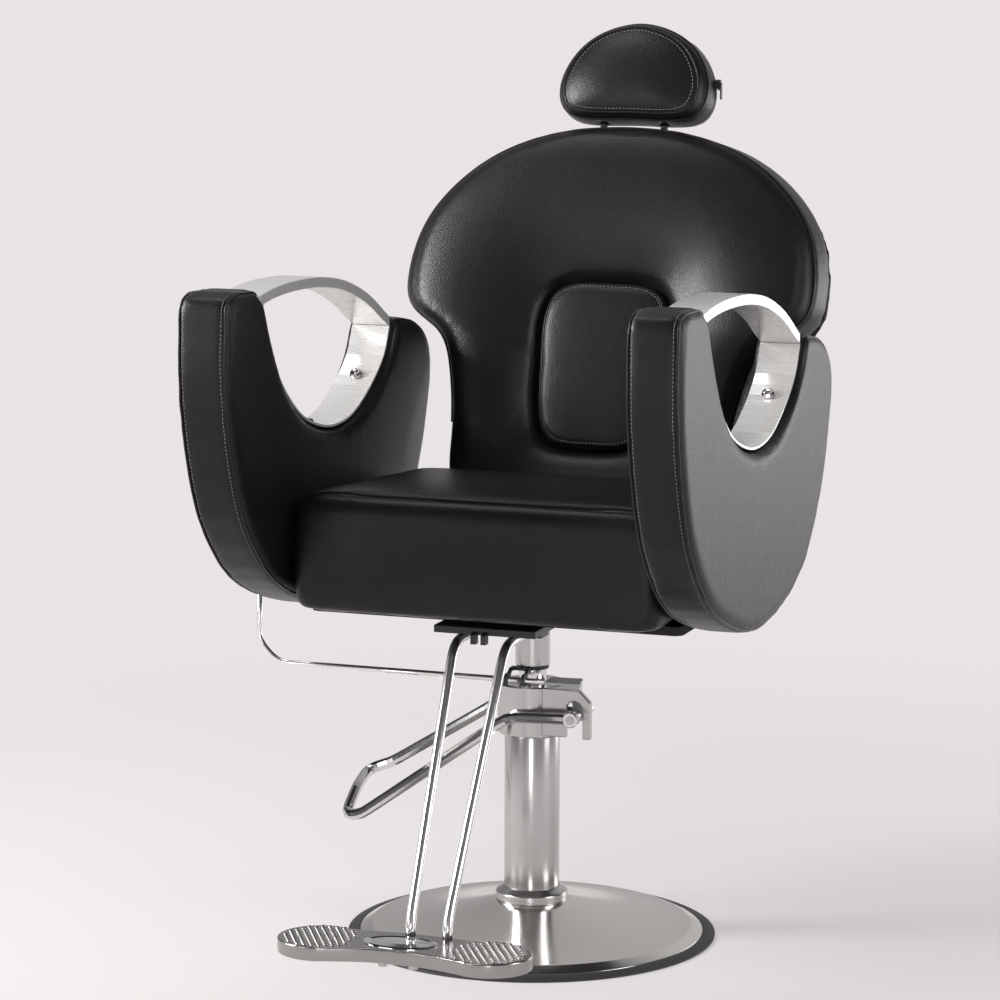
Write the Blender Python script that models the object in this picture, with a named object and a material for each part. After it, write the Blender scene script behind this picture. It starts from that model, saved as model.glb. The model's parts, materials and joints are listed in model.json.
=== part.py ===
"""Hydraulic barber chair, modelled piece by piece.

Metres, +Z up. The origin is on the floor on the axis of the column.
The chair faces -Y, and +X is the sitter's left-hand side.
"""
import math

import bmesh
import bpy
from mathutils import Matrix, Vector

# ---- clearances -------------------------------------------------------------------------
GAP = 0.0003                 # between two pieces that touch
RUN = 0.0002                 # radial running clearance of a shaft in its hole

# ---- base -------------------------------------------------------------------------------
BASE_RADIUS = 0.250
RIM_EDGE = 0.0024            # height of the rim's outer edge
RIM_HEIGHT = 0.0064          # height of the rim where it meets the cover
RIM_WIDTH = 0.0165
RIM_INNER_RADIUS = BASE_RADIUS - RIM_WIDTH
PLATE_THICKNESS = 0.005
PLATE_MARGIN = 0.012         # how far the cast plate stays inside the rim's outer edge
COVER_RING_WIDTH = 0.016     # bright chamfer round the cover
COVER_RING_RISE = 0.0078
COVER_RISE = 0.0335          # from the chamfer's top to the collar
COVER_WALL = 0.0012
HUB_HEIGHT = 0.024
HUB_WALL = 0.009
COLLAR_WALL = 0.0115
COLLAR_HEIGHT = 0.018

# ---- column and pump --------------------------------------------------------------------
COLUMN_RADIUS = 0.0375
COLUMN_WALL = 0.003
CYLINDER_WALL = 0.0035
CYLINDER_RADIUS = 0.030
HEAD_BOTTOM = 0.2785
HEAD_TOP = 0.3485
HEAD_RADIUS = 0.0465
RAM_RADIUS = 0.019
RAM_BOTTOM = 0.090
PISTON_HEIGHT = 0.018
GLAND_RADIUS = 0.0245
GLAND_HEIGHT = 0.006

# ---- lever lug, its shaft and the foot lever --------------------------------------------
LUG_FRONT = -0.040           # front face, along Y
LUG_CHEEK = 0.009            # thickness of the cheek with the arched slot
LUG_REAR = 0.012
LUG_REACH = 0.095            # outer face of the hanging leg
LUG_LEG = 0.011              # thickness of that leg
LUG_BOTTOM = 0.283
LUG_SLOT_RADIUS = 0.0125
LUG_CHAMFER = 0.016
PIVOT_X = 0.0735             # axis of the lever shaft, along Y
PIVOT_Z = 0.312
SLOT_TOP = 0.3335
SHAFT_RADIUS = 0.0056
CAM_RADIUS = 0.0092
CAM_OFFSET = 0.0045          # eccentricity that drives the plunger
CAM_HALF_WIDTH = 0.0055
BEARING_FRONT = -0.020       # of the long bearing behind the cheek
BEARING_HALF_WIDTH = 0.0095
PLUNGER_RADIUS = 0.005
PLUNGER_LENGTH = 0.022
PLUNGER_BORE_END = 0.030
LEVER_Y = 0.0555             # planes of the two legs of the loop
LEVER_ROD = 0.0078           # radius
EYE_RADIUS = 0.0106
EYE_HALF_WIDTH = 0.0062
COLLAR_RADIUS = 0.0082       # far leg's collar on the shaft, behind the cam
FAR_COLLAR_Y = 0.0135

# ---- turning seat -----------------------------------------------------------------------
SLEEVE_RADIUS = 0.0235
SLEEVE_BOTTOM = 0.372
SLEEVE_CAP = 0.010
MOUNT_TOP = 0.4565
MOUNT_THICKNESS = 0.010
MOUNT_HALF_WIDTH = 0.070
MOUNT_FRONT = -0.195
MOUNT_REAR = 0.150
BOARD_THICKNESS = 0.0118
BOARD_INSET = 0.090          # of the board's front edge behind the cushion's
SEAT_BOTTOM = 0.469
SEAT_HALF_WIDTH = 0.2555
SEAT_FRONT = -0.252
SEAT_TOP_FRONT = 0.634
SEAT_TOP_REAR = 0.604
SEAT_BACK_GAP = 0.006        # between the seat and the back

# ---- back and headrest ------------------------------------------------------------------
RAKE = math.radians(22.0)
BACK_FOOT_Y = 0.198          # the front plane of the back at BACK_FOOT_Z
BACK_FOOT_Z = 0.590
BACK_THICKNESS = 0.078
BACK_BOARD_THICKNESS = 0.016
REAR_SWELL = 0.013           # the shoulders are wider at the rear than at the front
BACK_HALF_WIDTH = 0.301
BACK_TOP = 0.527             # along the rake from BACK_FOOT_Z
STEM_HALF_WIDTH = 0.206
PAD_HALF_WIDTH = 0.095
PAD_BOTTOM = 0.047
PAD_TOP = 0.301
PAD_RECESS = 0.020
SEAT_LINE = 0.014            # along the rake, where the seat's top meets the back
CROWN_RUN = 0.060            # length over which the back's crown rises above the seat
PIVOT_BACK_Z = 0.512         # recline axis
PIVOT_BACK_DEPTH = 0.040     # of that axis behind the back's front plane
HEADREST_HALF_WIDTH = 0.114
HEADREST_BOTTOM = 0.5345
HEADREST_TOP = 0.680
HEADREST_THICKNESS = 0.078
ZIP_HEIGHT = 0.066           # of the slider above the headrest's bottom
POST_X = 0.045
POST_RADIUS = 0.0055
POST_LENGTH = 0.230
POST_DEPTH = 0.040           # of the posts behind the back's front plane
POST_IN_HEADREST = 0.060
SOCKET_RADIUS = 0.009
HEADREST_FRONT = 0.0         # front plane of the headrest, out of the back's front plane
RECLINE_SHAFT_RADIUS = 0.008
RECLINE_RANGE = math.radians(50.0)
RECLINE_LEVER = 0.090        # from the recline shaft to the strut's pin
LEVER_TIP = 0.014
STRAP = 0.004

# ---- arms -------------------------------------------------------------------------------
ARM_SEAT_GAP = 0.0020         # between the seat cushion and each arm panel
ARM_INNER = SEAT_HALF_WIDTH + ARM_SEAT_GAP
ARM_THICKNESS = 0.0755
ARM_EDGE = 0.007             # rounded edge of the padding
RING_WIDTH = 0.055           # of the steel ring, along X
RING_THICKNESS = 0.014       # of the arch
LINER_THICKNESS = 0.003
ARM_BOLT_HEAD = 0.009
ARM_BOLT_SHANK = 0.0035
ARM_BOLT_PLACES = {"low": 19, "high": 28}    # points of the eye's curve under the bolts

# ---- footrest ---------------------------------------------------------------------------
FOOT_ROD_RADIUS = 0.0065
FOOT_ROD_TOP_X = 0.035
FOOT_ROD_FOOT_X = 0.0245     # half the spacing of the rods at the foot plate
FOOT_ROD_OFFSET = 0.024      # the rods' feet are shifted to this side
FOOT_ROD_KNEE_Y = -0.212
FOOT_ROD_FOOT_Y = -0.462
FOOT_TOP = 0.115
FOOT_THICKNESS = 0.018
FOOT_PLATE_X = 0.0065        # middle of the foot plate
PAD_CENTRE_X = 0.1105
PAD_CENTRE_Y = -0.503
PAD_LENGTH = 0.0555          # semi-axes of a foot pad
PAD_WIDTH = 0.052
WAIST_FRONT = -0.535
WAIST_REAR = -0.452
MEDALLION_Y = -0.499
MEDALLION_LENGTH = 0.049
MEDALLION_WIDTH = 0.028
STUD_RADIUS = 0.0034
STUD_PITCH = 0.0128
STUD_HEIGHT = 0.0022
FOOT_BOLT_X = 0.0205
FOOT_BOLT_Y = -0.508
FOOT_BOLT_RADIUS = 0.0062
FOOT_BOLT_HEIGHT = 0.010

# ---- height release ---------------------------------------------------------------------
RELEASE_RADIUS = 0.0038
RELEASE_Y = -0.0475
RELEASE_Z = 0.3585
RELEASE_INNER_X = 0.034
RELEASE_BEND_X = -0.352
RELEASE_UP_X = -0.381
RELEASE_TOP = 0.500
FLAG_LENGTH = 0.050
FLAG_THICKNESS = 0.0025
HOOK_X = (-0.0195, 0.0045)
HOOK_WIDTH = 0.0046
HOOK_WALL = 0.0044

# ---- gas strut --------------------------------------------------------------------------
STRUT_X = -0.095
STRUT_RADIUS = 0.011
STRUT_ROD_RADIUS = 0.005
STRUT_BODY = 0.175           # from the strut's anchor to the mouth of its cylinder

COLOURS = {
    "leather": ((0.018, 0.017, 0.018), 0.42, 0.0),
    "steel": ((0.62, 0.61, 0.60), 0.28, 1.0),
    "chrome": ((0.78, 0.77, 0.76), 0.10, 1.0),
    "cast": ((0.30, 0.30, 0.31), 0.50, 1.0),
    "black": ((0.015, 0.015, 0.016), 0.45, 0.0),
    "rubber": ((0.020, 0.019, 0.019), 0.75, 0.0),
    "wood": ((0.42, 0.30, 0.18), 0.70, 0.0),
}


# ---- construction helpers ---------------------------------------------------------------
def clear_scene():
    for obj in list(bpy.data.objects):
        bpy.data.objects.remove(obj, do_unlink=True)


def paint(name, finish):
    colour, roughness, metallic = COLOURS[finish]
    material = bpy.data.materials.new(name + "_finish")
    material.use_nodes = True
    shader = material.node_tree.nodes["Principled BSDF"]
    shader.inputs["Base Color"].default_value = (*colour, 1.0)
    shader.inputs["Roughness"].default_value = roughness
    shader.inputs["Metallic"].default_value = metallic
    material.diffuse_color = (*colour, 1.0)
    return material


def finish_piece(name, bm, finish, origin=(0.0, 0.0, 0.0)):
    """Make the object of a closed bmesh; its origin goes to the given point."""
    bmesh.ops.remove_doubles(bm, verts=bm.verts, dist=1e-6)
    bmesh.ops.recalc_face_normals(bm, faces=bm.faces)
    bmesh.ops.translate(bm, verts=bm.verts, vec=-Vector(origin))
    mesh = bpy.data.meshes.new(name)
    bm.to_mesh(mesh)
    bm.free()
    mesh.shade_smooth()
    mesh.set_sharp_from_angle(angle=math.radians(35.0))
    mesh.materials.append(paint(name, finish))
    obj = bpy.data.objects.new(name, mesh)
    obj.location = origin
    bpy.context.collection.objects.link(obj)
    return obj


def as_cutter(obj):
    obj.hide_render = True
    obj.display_type = "WIRE"
    return obj


def combine(obj, other, operation):
    """Join another solid to this one, or cut it away."""
    modifier = obj.modifiers.new(operation.lower(), "BOOLEAN")
    modifier.object = as_cutter(other)
    modifier.operation = operation
    return obj


def turned(name, outline, finish, steps=48, axis="Z", centre=(0.0, 0.0, 0.0)):
    """Spin a closed outline of (radius, height) round an axis."""
    bm = bmesh.new()
    corners = [bm.verts.new((radius, 0.0, height)) for radius, height in outline]
    edges = []
    for start, end in zip(corners, corners[1:] + corners[:1]):
        if start.co.x > 0.0 or end.co.x > 0.0:
            edges.append(bm.edges.new((start, end)))
    bmesh.ops.spin(bm, geom=corners + edges, cent=(0, 0, 0), axis=(0, 0, 1),
                   angle=2.0 * math.pi, steps=steps, use_merge=False, use_duplicate=False)
    turn = {"X": Matrix.Rotation(math.radians(90), 3, "Y"),
            "Y": Matrix.Rotation(math.radians(-90), 3, "X"),
            "Z": Matrix.Identity(3)}[axis]
    bmesh.ops.remove_doubles(bm, verts=bm.verts, dist=1e-6)
    bmesh.ops.rotate(bm, verts=bm.verts, cent=(0, 0, 0), matrix=turn)
    bmesh.ops.translate(bm, verts=bm.verts, vec=Vector(centre))
    return finish_piece(name, bm, finish)


def disc(name, radius, low, high, finish, steps=32, axis="Z", centre=(0.0, 0.0, 0.0)):
    """A plain round bar between two heights along its axis."""
    outline = [(0.0, low), (radius, low), (radius, high), (0.0, high)]
    return turned(name, outline, finish, steps, axis, centre)


def extruded(name, outline, low, high, plane, finish, bevel=0.0, segments=2):
    """Extrude a closed outline along the normal of its plane: 'YZ', 'XZ' or 'XY'."""
    place = {"YZ": lambda u, v, w: (w, u, v),
             "XZ": lambda u, v, w: (u, w, v),
             "XY": lambda u, v, w: (u, v, w)}[plane]
    bm = bmesh.new()
    face = bm.faces.new([bm.verts.new(place(u, v, low)) for u, v in outline])
    extrusion = bmesh.ops.extrude_face_region(bm, geom=[face])
    moved = [item for item in extrusion["geom"] if isinstance(item, bmesh.types.BMVert)]
    bmesh.ops.translate(bm, verts=moved, vec=Vector(place(0.0, 0.0, high - low)))
    obj = finish_piece(name, bm, finish)
    if bevel:
        modifier = obj.modifiers.new("rounded_edges", "BEVEL")
        modifier.width = bevel
        modifier.segments = segments
        modifier.angle_limit = math.radians(50.0)
    return obj


def loft(name, rings, finish, origin=(0.0, 0.0, 0.0)):
    """Skin a row of closed rings of equal count; a ring of one point closes an end."""
    bm = bmesh.new()
    rows = [[bm.verts.new(point) for point in ring] for ring in rings]
    for lower, upper in zip(rows, rows[1:]):
        count = max(len(lower), len(upper))
        for i in range(count):
            j = (i + 1) % count
            corners = [lower[i % len(lower)], lower[j % len(lower)],
                       upper[j % len(upper)], upper[i % len(upper)]]
            bm.faces.new(list(dict.fromkeys(corners)))
    for end in (rows[0], rows[-1]):
        if len(end) > 1:
            bm.faces.new(end)
    return finish_piece(name, bm, finish, origin)


def bent_path(points, bend, steps=5):
    """Replace each inner corner of a polyline by a smooth bend of the given reach."""
    corners = [Vector(point) for point in points]
    path = [corners[0]]
    for before, corner, after in zip(corners, corners[1:], corners[2:]):
        reach_in = min(bend, 0.49 * (before - corner).length)
        reach_out = min(bend, 0.49 * (after - corner).length)
        start = corner + (before - corner).normalized() * reach_in
        end = corner + (after - corner).normalized() * reach_out
        for k in range(steps + 1):
            t = k / steps
            path.append(start * (1 - t) ** 2 + corner * 2 * t * (1 - t) + end * t * t)
    path.append(corners[-1])
    return path


def rod(name, path, radius, finish, sides=12):
    """A round bar swept along a path, with flat ends."""
    rings = []
    side = None
    for i, point in enumerate(path):
        ahead = path[min(i + 1, len(path) - 1)] - path[max(i - 1, 0)]
        ahead.normalize()
        if side is None:
            side = ahead.orthogonal()
        side = (side - ahead * side.dot(ahead)).normalized()
        across = ahead.cross(side)
        ring = []
        for k in range(sides):
            angle = 2.0 * math.pi * k / sides
            ring.append(point + radius * (math.cos(angle) * side + math.sin(angle) * across))
        rings.append(ring)
    return loft(name, rings, finish)


def smooth_closed(points, count):
    """Points spaced along a closed Catmull-Rom curve through the given corners."""
    dense = []
    total = len(points)
    for i in range(total):
        a, b, c, d = (Vector(points[(i + k - 1) % total]) for k in range(4))
        for step in range(12):
            t = step / 12
            dense.append(0.5 * (2 * b + (c - a) * t + (2 * a - 5 * b + 4 * c - d) * t ** 2
                                + (3 * b - a - 3 * c + d) * t ** 3))
    lengths = [0.0]
    for start, end in zip(dense, dense[1:] + dense[:1]):
        lengths.append(lengths[-1] + (end - start).length)
    spaced = []
    k = 0
    for i in range(count):
        target = lengths[-1] * i / count
        while lengths[k + 1] < target:
            k += 1
        share = (target - lengths[k]) / (lengths[k + 1] - lengths[k])
        spaced.append(dense[k].lerp(dense[(k + 1) % len(dense)], share))
    return spaced


def smooth_open(points, steps):
    """Catmull-Rom curve through an open row of 2-D points."""
    row = [Vector(point) for point in points]
    row = [2 * row[0] - row[1]] + row + [2 * row[-1] - row[-2]]
    curve = []
    for a, b, c, d in zip(row, row[1:], row[2:], row[3:]):
        for step in range(steps):
            t = step / steps
            curve.append(0.5 * (2 * b + (c - a) * t + (2 * a - 5 * b + 4 * c - d) * t ** 2
                                + (3 * b - a - 3 * c + d) * t ** 3))
    curve.append(row[-2])
    return curve


def arc(centre, radius, start, end, steps):
    """Points of a circular arc in a plane, angles in degrees."""
    points = []
    for k in range(steps + 1):
        angle = math.radians(start + (end - start) * k / steps)
        points.append((centre[0] + radius * math.cos(angle),
                       centre[1] + radius * math.sin(angle)))
    return points


def offset_curve(curve, distance):
    """Shift an open 2-D curve sideways, to its right for a positive distance."""
    shifted = []
    for i, point in enumerate(curve):
        ahead = curve[min(i + 1, len(curve) - 1)] - curve[max(i - 1, 0)]
        ahead.normalize()
        shifted.append(point + distance * Vector((ahead.y, -ahead.x)))
    return shifted


# ---- base and pump ----------------------------------------------------------------------
def cover_height(radius):
    """Height of the dome: a shallow flare that steepens towards the column."""
    outer = RIM_INNER_RADIUS - COVER_RING_WIDTH
    inner = COLUMN_RADIUS + COLLAR_WALL
    share = (outer - max(radius, inner)) / (outer - inner)
    foot = PLATE_THICKNESS + GAP + COVER_WALL + COVER_RING_RISE
    return foot + COVER_RISE * share ** 1.5


def build_base():
    plate_radius = BASE_RADIUS - PLATE_MARGIN - GAP
    hub_bore = COLUMN_RADIUS + GAP
    hub_radius = hub_bore + HUB_WALL
    tube_foot = PLATE_THICKNESS - COLUMN_WALL / 2
    turned("base_plate", [(0, 0), (plate_radius, 0), (plate_radius, PLATE_THICKNESS),
                          (hub_radius + 0.012, PLATE_THICKNESS),
                          (hub_radius, PLATE_THICKNESS + 0.012), (hub_radius, HUB_HEIGHT),
                          (hub_bore, HUB_HEIGHT), (hub_bore, tube_foot - GAP),
                          (0, tube_foot - GAP)], "cast", 44)

    lip = PLATE_THICKNESS + GAP
    inner = plate_radius + GAP
    turned("base_rubber_ring", [(inner, 0), (BASE_RADIUS, 0), (BASE_RADIUS, RIM_EDGE),
                                (RIM_INNER_RADIUS + 0.001, RIM_HEIGHT),
                                (RIM_INNER_RADIUS, RIM_HEIGHT), (RIM_INNER_RADIUS, lip),
                                (inner, lip)], "rubber", 44)

    edge = RIM_INNER_RADIUS - GAP
    ring_top = edge - COVER_RING_WIDTH
    hole = COLUMN_RADIUS + GAP
    top = [(edge, lip), (edge, lip + COVER_WALL)]
    radii = [ring_top + (COLUMN_RADIUS + COLLAR_WALL - ring_top) * k / 6 for k in range(7)]
    top += [(radius, cover_height(radius)) for radius in radii]
    top.append((hole, cover_height(hole)))
    under = [(radius, height - COVER_WALL) for radius, height in reversed(top[2::2])]
    under.append((edge - COVER_WALL, lip))
    turned("base_cover", top + under, "steel", 44)

    foot = cover_height(hole) + GAP
    rim = COLUMN_RADIUS + COLLAR_WALL
    shoulder = foot + COLLAR_HEIGHT * 0.6
    turned("base_collar", [(hole, foot), (rim, foot), (rim, shoulder),
                           (rim - 0.0015, shoulder + 0.0015),
                           (hole + 0.002, foot + COLLAR_HEIGHT - 0.001),
                           (hole + 0.001, foot + COLLAR_HEIGHT),
                           (hole, foot + COLLAR_HEIGHT)], "steel", 36)
    return tube_foot


def build_pump(tube_foot):
    tube_top = HEAD_BOTTOM - GAP
    bore = COLUMN_RADIUS - COLUMN_WALL
    turned("column_tube", [(bore, tube_foot), (COLUMN_RADIUS, tube_foot),
                           (COLUMN_RADIUS, tube_top), (bore, tube_top)], "steel", 36)
    cylinder_bore = CYLINDER_RADIUS - CYLINDER_WALL
    turned("inner_cylinder", [(0, tube_foot), (CYLINDER_RADIUS, tube_foot),
                              (CYLINDER_RADIUS, tube_top), (cylinder_bore, tube_top),
                              (cylinder_bore, tube_foot + 0.006), (0, tube_foot + 0.006)],
           "steel", 20)

    head = turned("pump_head", head_outline(), "steel", 40)
    combine(head, lug_block(), "UNION")
    bore = disc("plunger_bore", PLUNGER_RADIUS + RUN, PLUNGER_BORE_END, PIVOT_X,
                "steel", 20, "X", (0, 0, PIVOT_Z))
    combine(head, bore, "DIFFERENCE")

    bore = RAM_RADIUS + RUN
    gland_foot = HEAD_TOP - GLAND_HEIGHT + GAP
    turned("gland_nut", [(bore, gland_foot), (GLAND_RADIUS, gland_foot),
                         (GLAND_RADIUS, HEAD_TOP + 0.0004),
                         (GLAND_RADIUS - 0.0012, HEAD_TOP + 0.0016), (bore, HEAD_TOP + 0.0016)],
           "steel", 28)

    end = PIVOT_X - CAM_RADIUS - GAP
    turned("pump_plunger", [(0, end - PLUNGER_LENGTH), (PLUNGER_RADIUS, end - PLUNGER_LENGTH),
                            (PLUNGER_RADIUS, end - 0.001), (PLUNGER_RADIUS - 0.001, end),
                            (0, end)], "steel", 20, "X", (0, 0, PIVOT_Z))


def head_outline():
    """Turned head with the ram's passage and the recess of the gland nut."""
    soft = 0.002
    passage = RAM_RADIUS + RUN
    recess = GLAND_RADIUS + GAP
    return [(passage, HEAD_BOTTOM), (HEAD_RADIUS - soft, HEAD_BOTTOM),
            (HEAD_RADIUS, HEAD_BOTTOM + soft), (HEAD_RADIUS, HEAD_TOP - soft),
            (HEAD_RADIUS - soft, HEAD_TOP), (recess, HEAD_TOP),
            (recess, HEAD_TOP - GLAND_HEIGHT), (passage, HEAD_TOP - GLAND_HEIGHT)]


def slot_outline(shrink, low):
    """The arched slot over the lever shaft, drawn smaller by a margin, down to a height."""
    left = PIVOT_X - LUG_SLOT_RADIUS + shrink
    right = LUG_REACH - LUG_LEG - shrink
    half = (right - left) / 2
    crown = arc(((left + right) / 2, SLOT_TOP - shrink - half), half, 180, 0, 10)
    return [(left, low)] + crown + [(right, low)]


def lug_block():
    """The lug on the head: a cheek with an arched slot and a hanging leg, the root that
    joins it to the head and the roof that carries the bearing, both tapered to the rear."""
    slot = slot_outline(0, LUG_BOTTOM)
    root = GLAND_RADIUS + GAP + 0.002
    cheek_rear = LUG_FRONT + LUG_CHEEK
    outline = [(root, LUG_BOTTOM)] + slot[:-1]
    outline += [(slot[-1][0], LUG_BOTTOM - 0.001), (LUG_REACH, LUG_BOTTOM - 0.001),
                (LUG_REACH, HEAD_TOP - LUG_CHAMFER), (LUG_REACH - LUG_CHAMFER, HEAD_TOP),
                (root, HEAD_TOP)]
    block = extruded("lug", outline, LUG_FRONT, cheek_rear, "XZ", "steel", 0.0012, 1)
    slot_left = slot[0][0]
    stem = [(root, cheek_rear - 0.003), (slot_left - 0.0006, cheek_rear - 0.003),
            (HEAD_RADIUS + 0.003, -0.004), (HEAD_RADIUS - 0.006, LUG_REAR), (root, LUG_REAR)]
    combine(block, extruded("root", stem, LUG_BOTTOM + 0.0006, SLOT_TOP + 0.001, "XY", "steel"),
            "UNION")
    edge = LUG_REACH - LUG_CHAMFER
    roof = [(root, cheek_rear - 0.003), (edge - 0.0030, cheek_rear - 0.003),
            (edge - 0.0040, cheek_rear + 0.001), (PIVOT_X - 0.007, LUG_REAR), (root, LUG_REAR)]
    combine(block, extruded("roof", roof, SLOT_TOP + 0.0004, HEAD_TOP - 0.0006, "XY", "steel"),
            "UNION")
    return block


def build_lever_shaft():
    """Shaft with the cam that works the plunger, and the long bearing that carries it."""
    front = -LEVER_Y - EYE_HALF_WIDTH - 0.0006
    rear = FAR_COLLAR_Y + EYE_HALF_WIDTH * 0.75
    shaft = disc("lever_shaft", SHAFT_RADIUS, front, rear, "steel", 20, "Y",
                 (PIVOT_X, 0, PIVOT_Z))
    cam = disc("cam", CAM_RADIUS, -CAM_HALF_WIDTH, CAM_HALF_WIDTH, "steel", 24, "Y",
               (PIVOT_X, 0, PIVOT_Z + CAM_OFFSET))
    combine(shaft, cam, "UNION")

    low, high = BEARING_FRONT, -CAM_HALF_WIDTH - GAP
    outline = [(PIVOT_X - BEARING_HALF_WIDTH, PIVOT_Z)]
    outline += arc((PIVOT_X, PIVOT_Z), BEARING_HALF_WIDTH, 180, 360, 10)[1:]
    outline += [(PIVOT_X + BEARING_HALF_WIDTH, PIVOT_Z + 0.012),
                (PIVOT_X + 0.0035, SLOT_TOP + 0.0004 - GAP),
                (PIVOT_X - BEARING_HALF_WIDTH, SLOT_TOP + 0.0004 - GAP)]
    block = extruded("lever_bearing", outline, low, high, "XZ", "cast")
    hole = disc("bearing_hole", SHAFT_RADIUS + RUN, low - 0.002, high + 0.002, "cast", 16, "Y",
                (PIVOT_X, 0, PIVOT_Z))
    combine(block, hole, "DIFFERENCE")


def lever_ring(y, radius, half_width):
    inner = SHAFT_RADIUS + GAP
    soft = 0.001
    return turned("eye", [(inner, -half_width), (radius - soft, -half_width),
                          (radius, -half_width + soft), (radius, half_width - soft),
                          (radius - soft, half_width), (inner, half_width)],
                  "chrome", 24, "Y", (PIVOT_X, y, PIVOT_Z))


def build_foot_lever():
    """One bent rod: near leg, loop end, higher far leg that dips behind the head."""
    path = bent_path([
        (PIVOT_X - SHAFT_RADIUS - 0.0035, -LEVER_Y, PIVOT_Z),
        (-0.0150, -LEVER_Y, 0.3090), (-0.0561, -LEVER_Y, 0.2797), (-0.2300, -LEVER_Y, 0.1560),
        (-0.2500, -LEVER_Y, 0.1550), (-0.2559, 0.0, 0.1800), (-0.2590, LEVER_Y, 0.1940),
        (-0.2250, LEVER_Y, 0.2065), (-0.0906, LEVER_Y, 0.2900), (-0.0300, LEVER_Y, 0.3300),
        (0.0260, LEVER_Y + 0.0025, 0.3300),
        (PIVOT_X - SHAFT_RADIUS - 0.0020, FAR_COLLAR_Y + 0.0015, PIVOT_Z)],
        0.016, 3)
    lever = rod("foot_lever", path, LEVER_ROD, "chrome", 10)
    combine(lever, lever_ring(-LEVER_Y, EYE_RADIUS, EYE_HALF_WIDTH), "UNION")
    combine(lever, lever_ring(FAR_COLLAR_Y, COLLAR_RADIUS, EYE_HALF_WIDTH * 0.7), "UNION")
    for y, half_width in ((-LEVER_Y, EYE_HALF_WIDTH + 0.004), (FAR_COLLAR_Y, 0.008)):
        combine(lever, disc("eye_hole", SHAFT_RADIUS + GAP, y - half_width, y + half_width,
                            "chrome", 24, "Y", (PIVOT_X, 0, PIVOT_Z)), "DIFFERENCE")


def build_ram():
    turned("ram", [(0, RAM_BOTTOM), (RAM_RADIUS, RAM_BOTTOM), (RAM_RADIUS, ram_top() - 0.001),
                   (RAM_RADIUS - 0.001, ram_top()), (0, ram_top())], "chrome", 32)
    piston_radius = CYLINDER_RADIUS - CYLINDER_WALL - RUN
    top = RAM_BOTTOM - GAP
    turned("ram_piston", [(0, top - PISTON_HEIGHT), (piston_radius, top - PISTON_HEIGHT),
                          (piston_radius, top), (0, top)], "rubber", 20)


def ram_top():
    return MOUNT_TOP - MOUNT_THICKNESS - GAP - SLEEVE_CAP - GAP


# ---- turning seat -----------------------------------------------------------------------
def rounded_rectangle(x0, x1, y0, y1, radius, corner_steps=4, edge_steps=4):
    """Closed ring of points with round corners, counter-clockwise from the +X side."""
    corners = [((x1 - radius, y1 - radius), 0), ((x0 + radius, y1 - radius), 90),
               ((x0 + radius, y0 + radius), 180), ((x1 - radius, y0 + radius), 270)]
    ring = []
    for index, (centre, start) in enumerate(corners):
        turn = arc(centre, radius, start, start + 90, corner_steps)
        following, angle = corners[(index + 1) % 4]
        goal = arc(following, radius, angle, angle + 90, corner_steps)[0]
        ring += turn
        for k in range(1, edge_steps):
            share = k / edge_steps
            ring.append((turn[-1][0] + (goal[0] - turn[-1][0]) * share,
                         turn[-1][1] + (goal[1] - turn[-1][1]) * share))
    return ring


def plate_bottom():
    return MOUNT_TOP - MOUNT_THICKNESS


def build_swivel():
    bore = RAM_RADIUS + RUN
    top = plate_bottom() - GAP
    turned("swivel_sleeve", [(bore, SLEEVE_BOTTOM), (SLEEVE_RADIUS - 0.001, SLEEVE_BOTTOM),
                             (SLEEVE_RADIUS, SLEEVE_BOTTOM + 0.001), (SLEEVE_RADIUS, top),
                             (0, top), (0, ram_top() + GAP), (bore, ram_top() + GAP)],
           "steel", 32)

    rod_z = plate_bottom() - GAP - FOOT_ROD_RADIUS
    profile = [(MOUNT_FRONT, plate_bottom()), (MOUNT_REAR, plate_bottom()),
               (MOUNT_REAR, MOUNT_TOP), (MOUNT_FRONT, MOUNT_TOP)]
    plate = extruded("seat_mount_plate", profile, -MOUNT_HALF_WIDTH, MOUNT_HALF_WIDTH, "YZ",
                     "black", 0.001, 1)
    for x in (-0.0127, 0.0013):
        ear = extruded("ear", [(MOUNT_FRONT - 0.008, plate_bottom() - 0.011),
                               (MOUNT_FRONT + 0.003, plate_bottom() - 0.011),
                               (MOUNT_FRONT + 0.003, plate_bottom() + 0.006),
                               (MOUNT_FRONT - 0.008, plate_bottom() + 0.001)],
                       x - 0.0035, x + 0.0035, "YZ", "black")
        combine(plate, ear, "UNION")
    return rod_z


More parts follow.
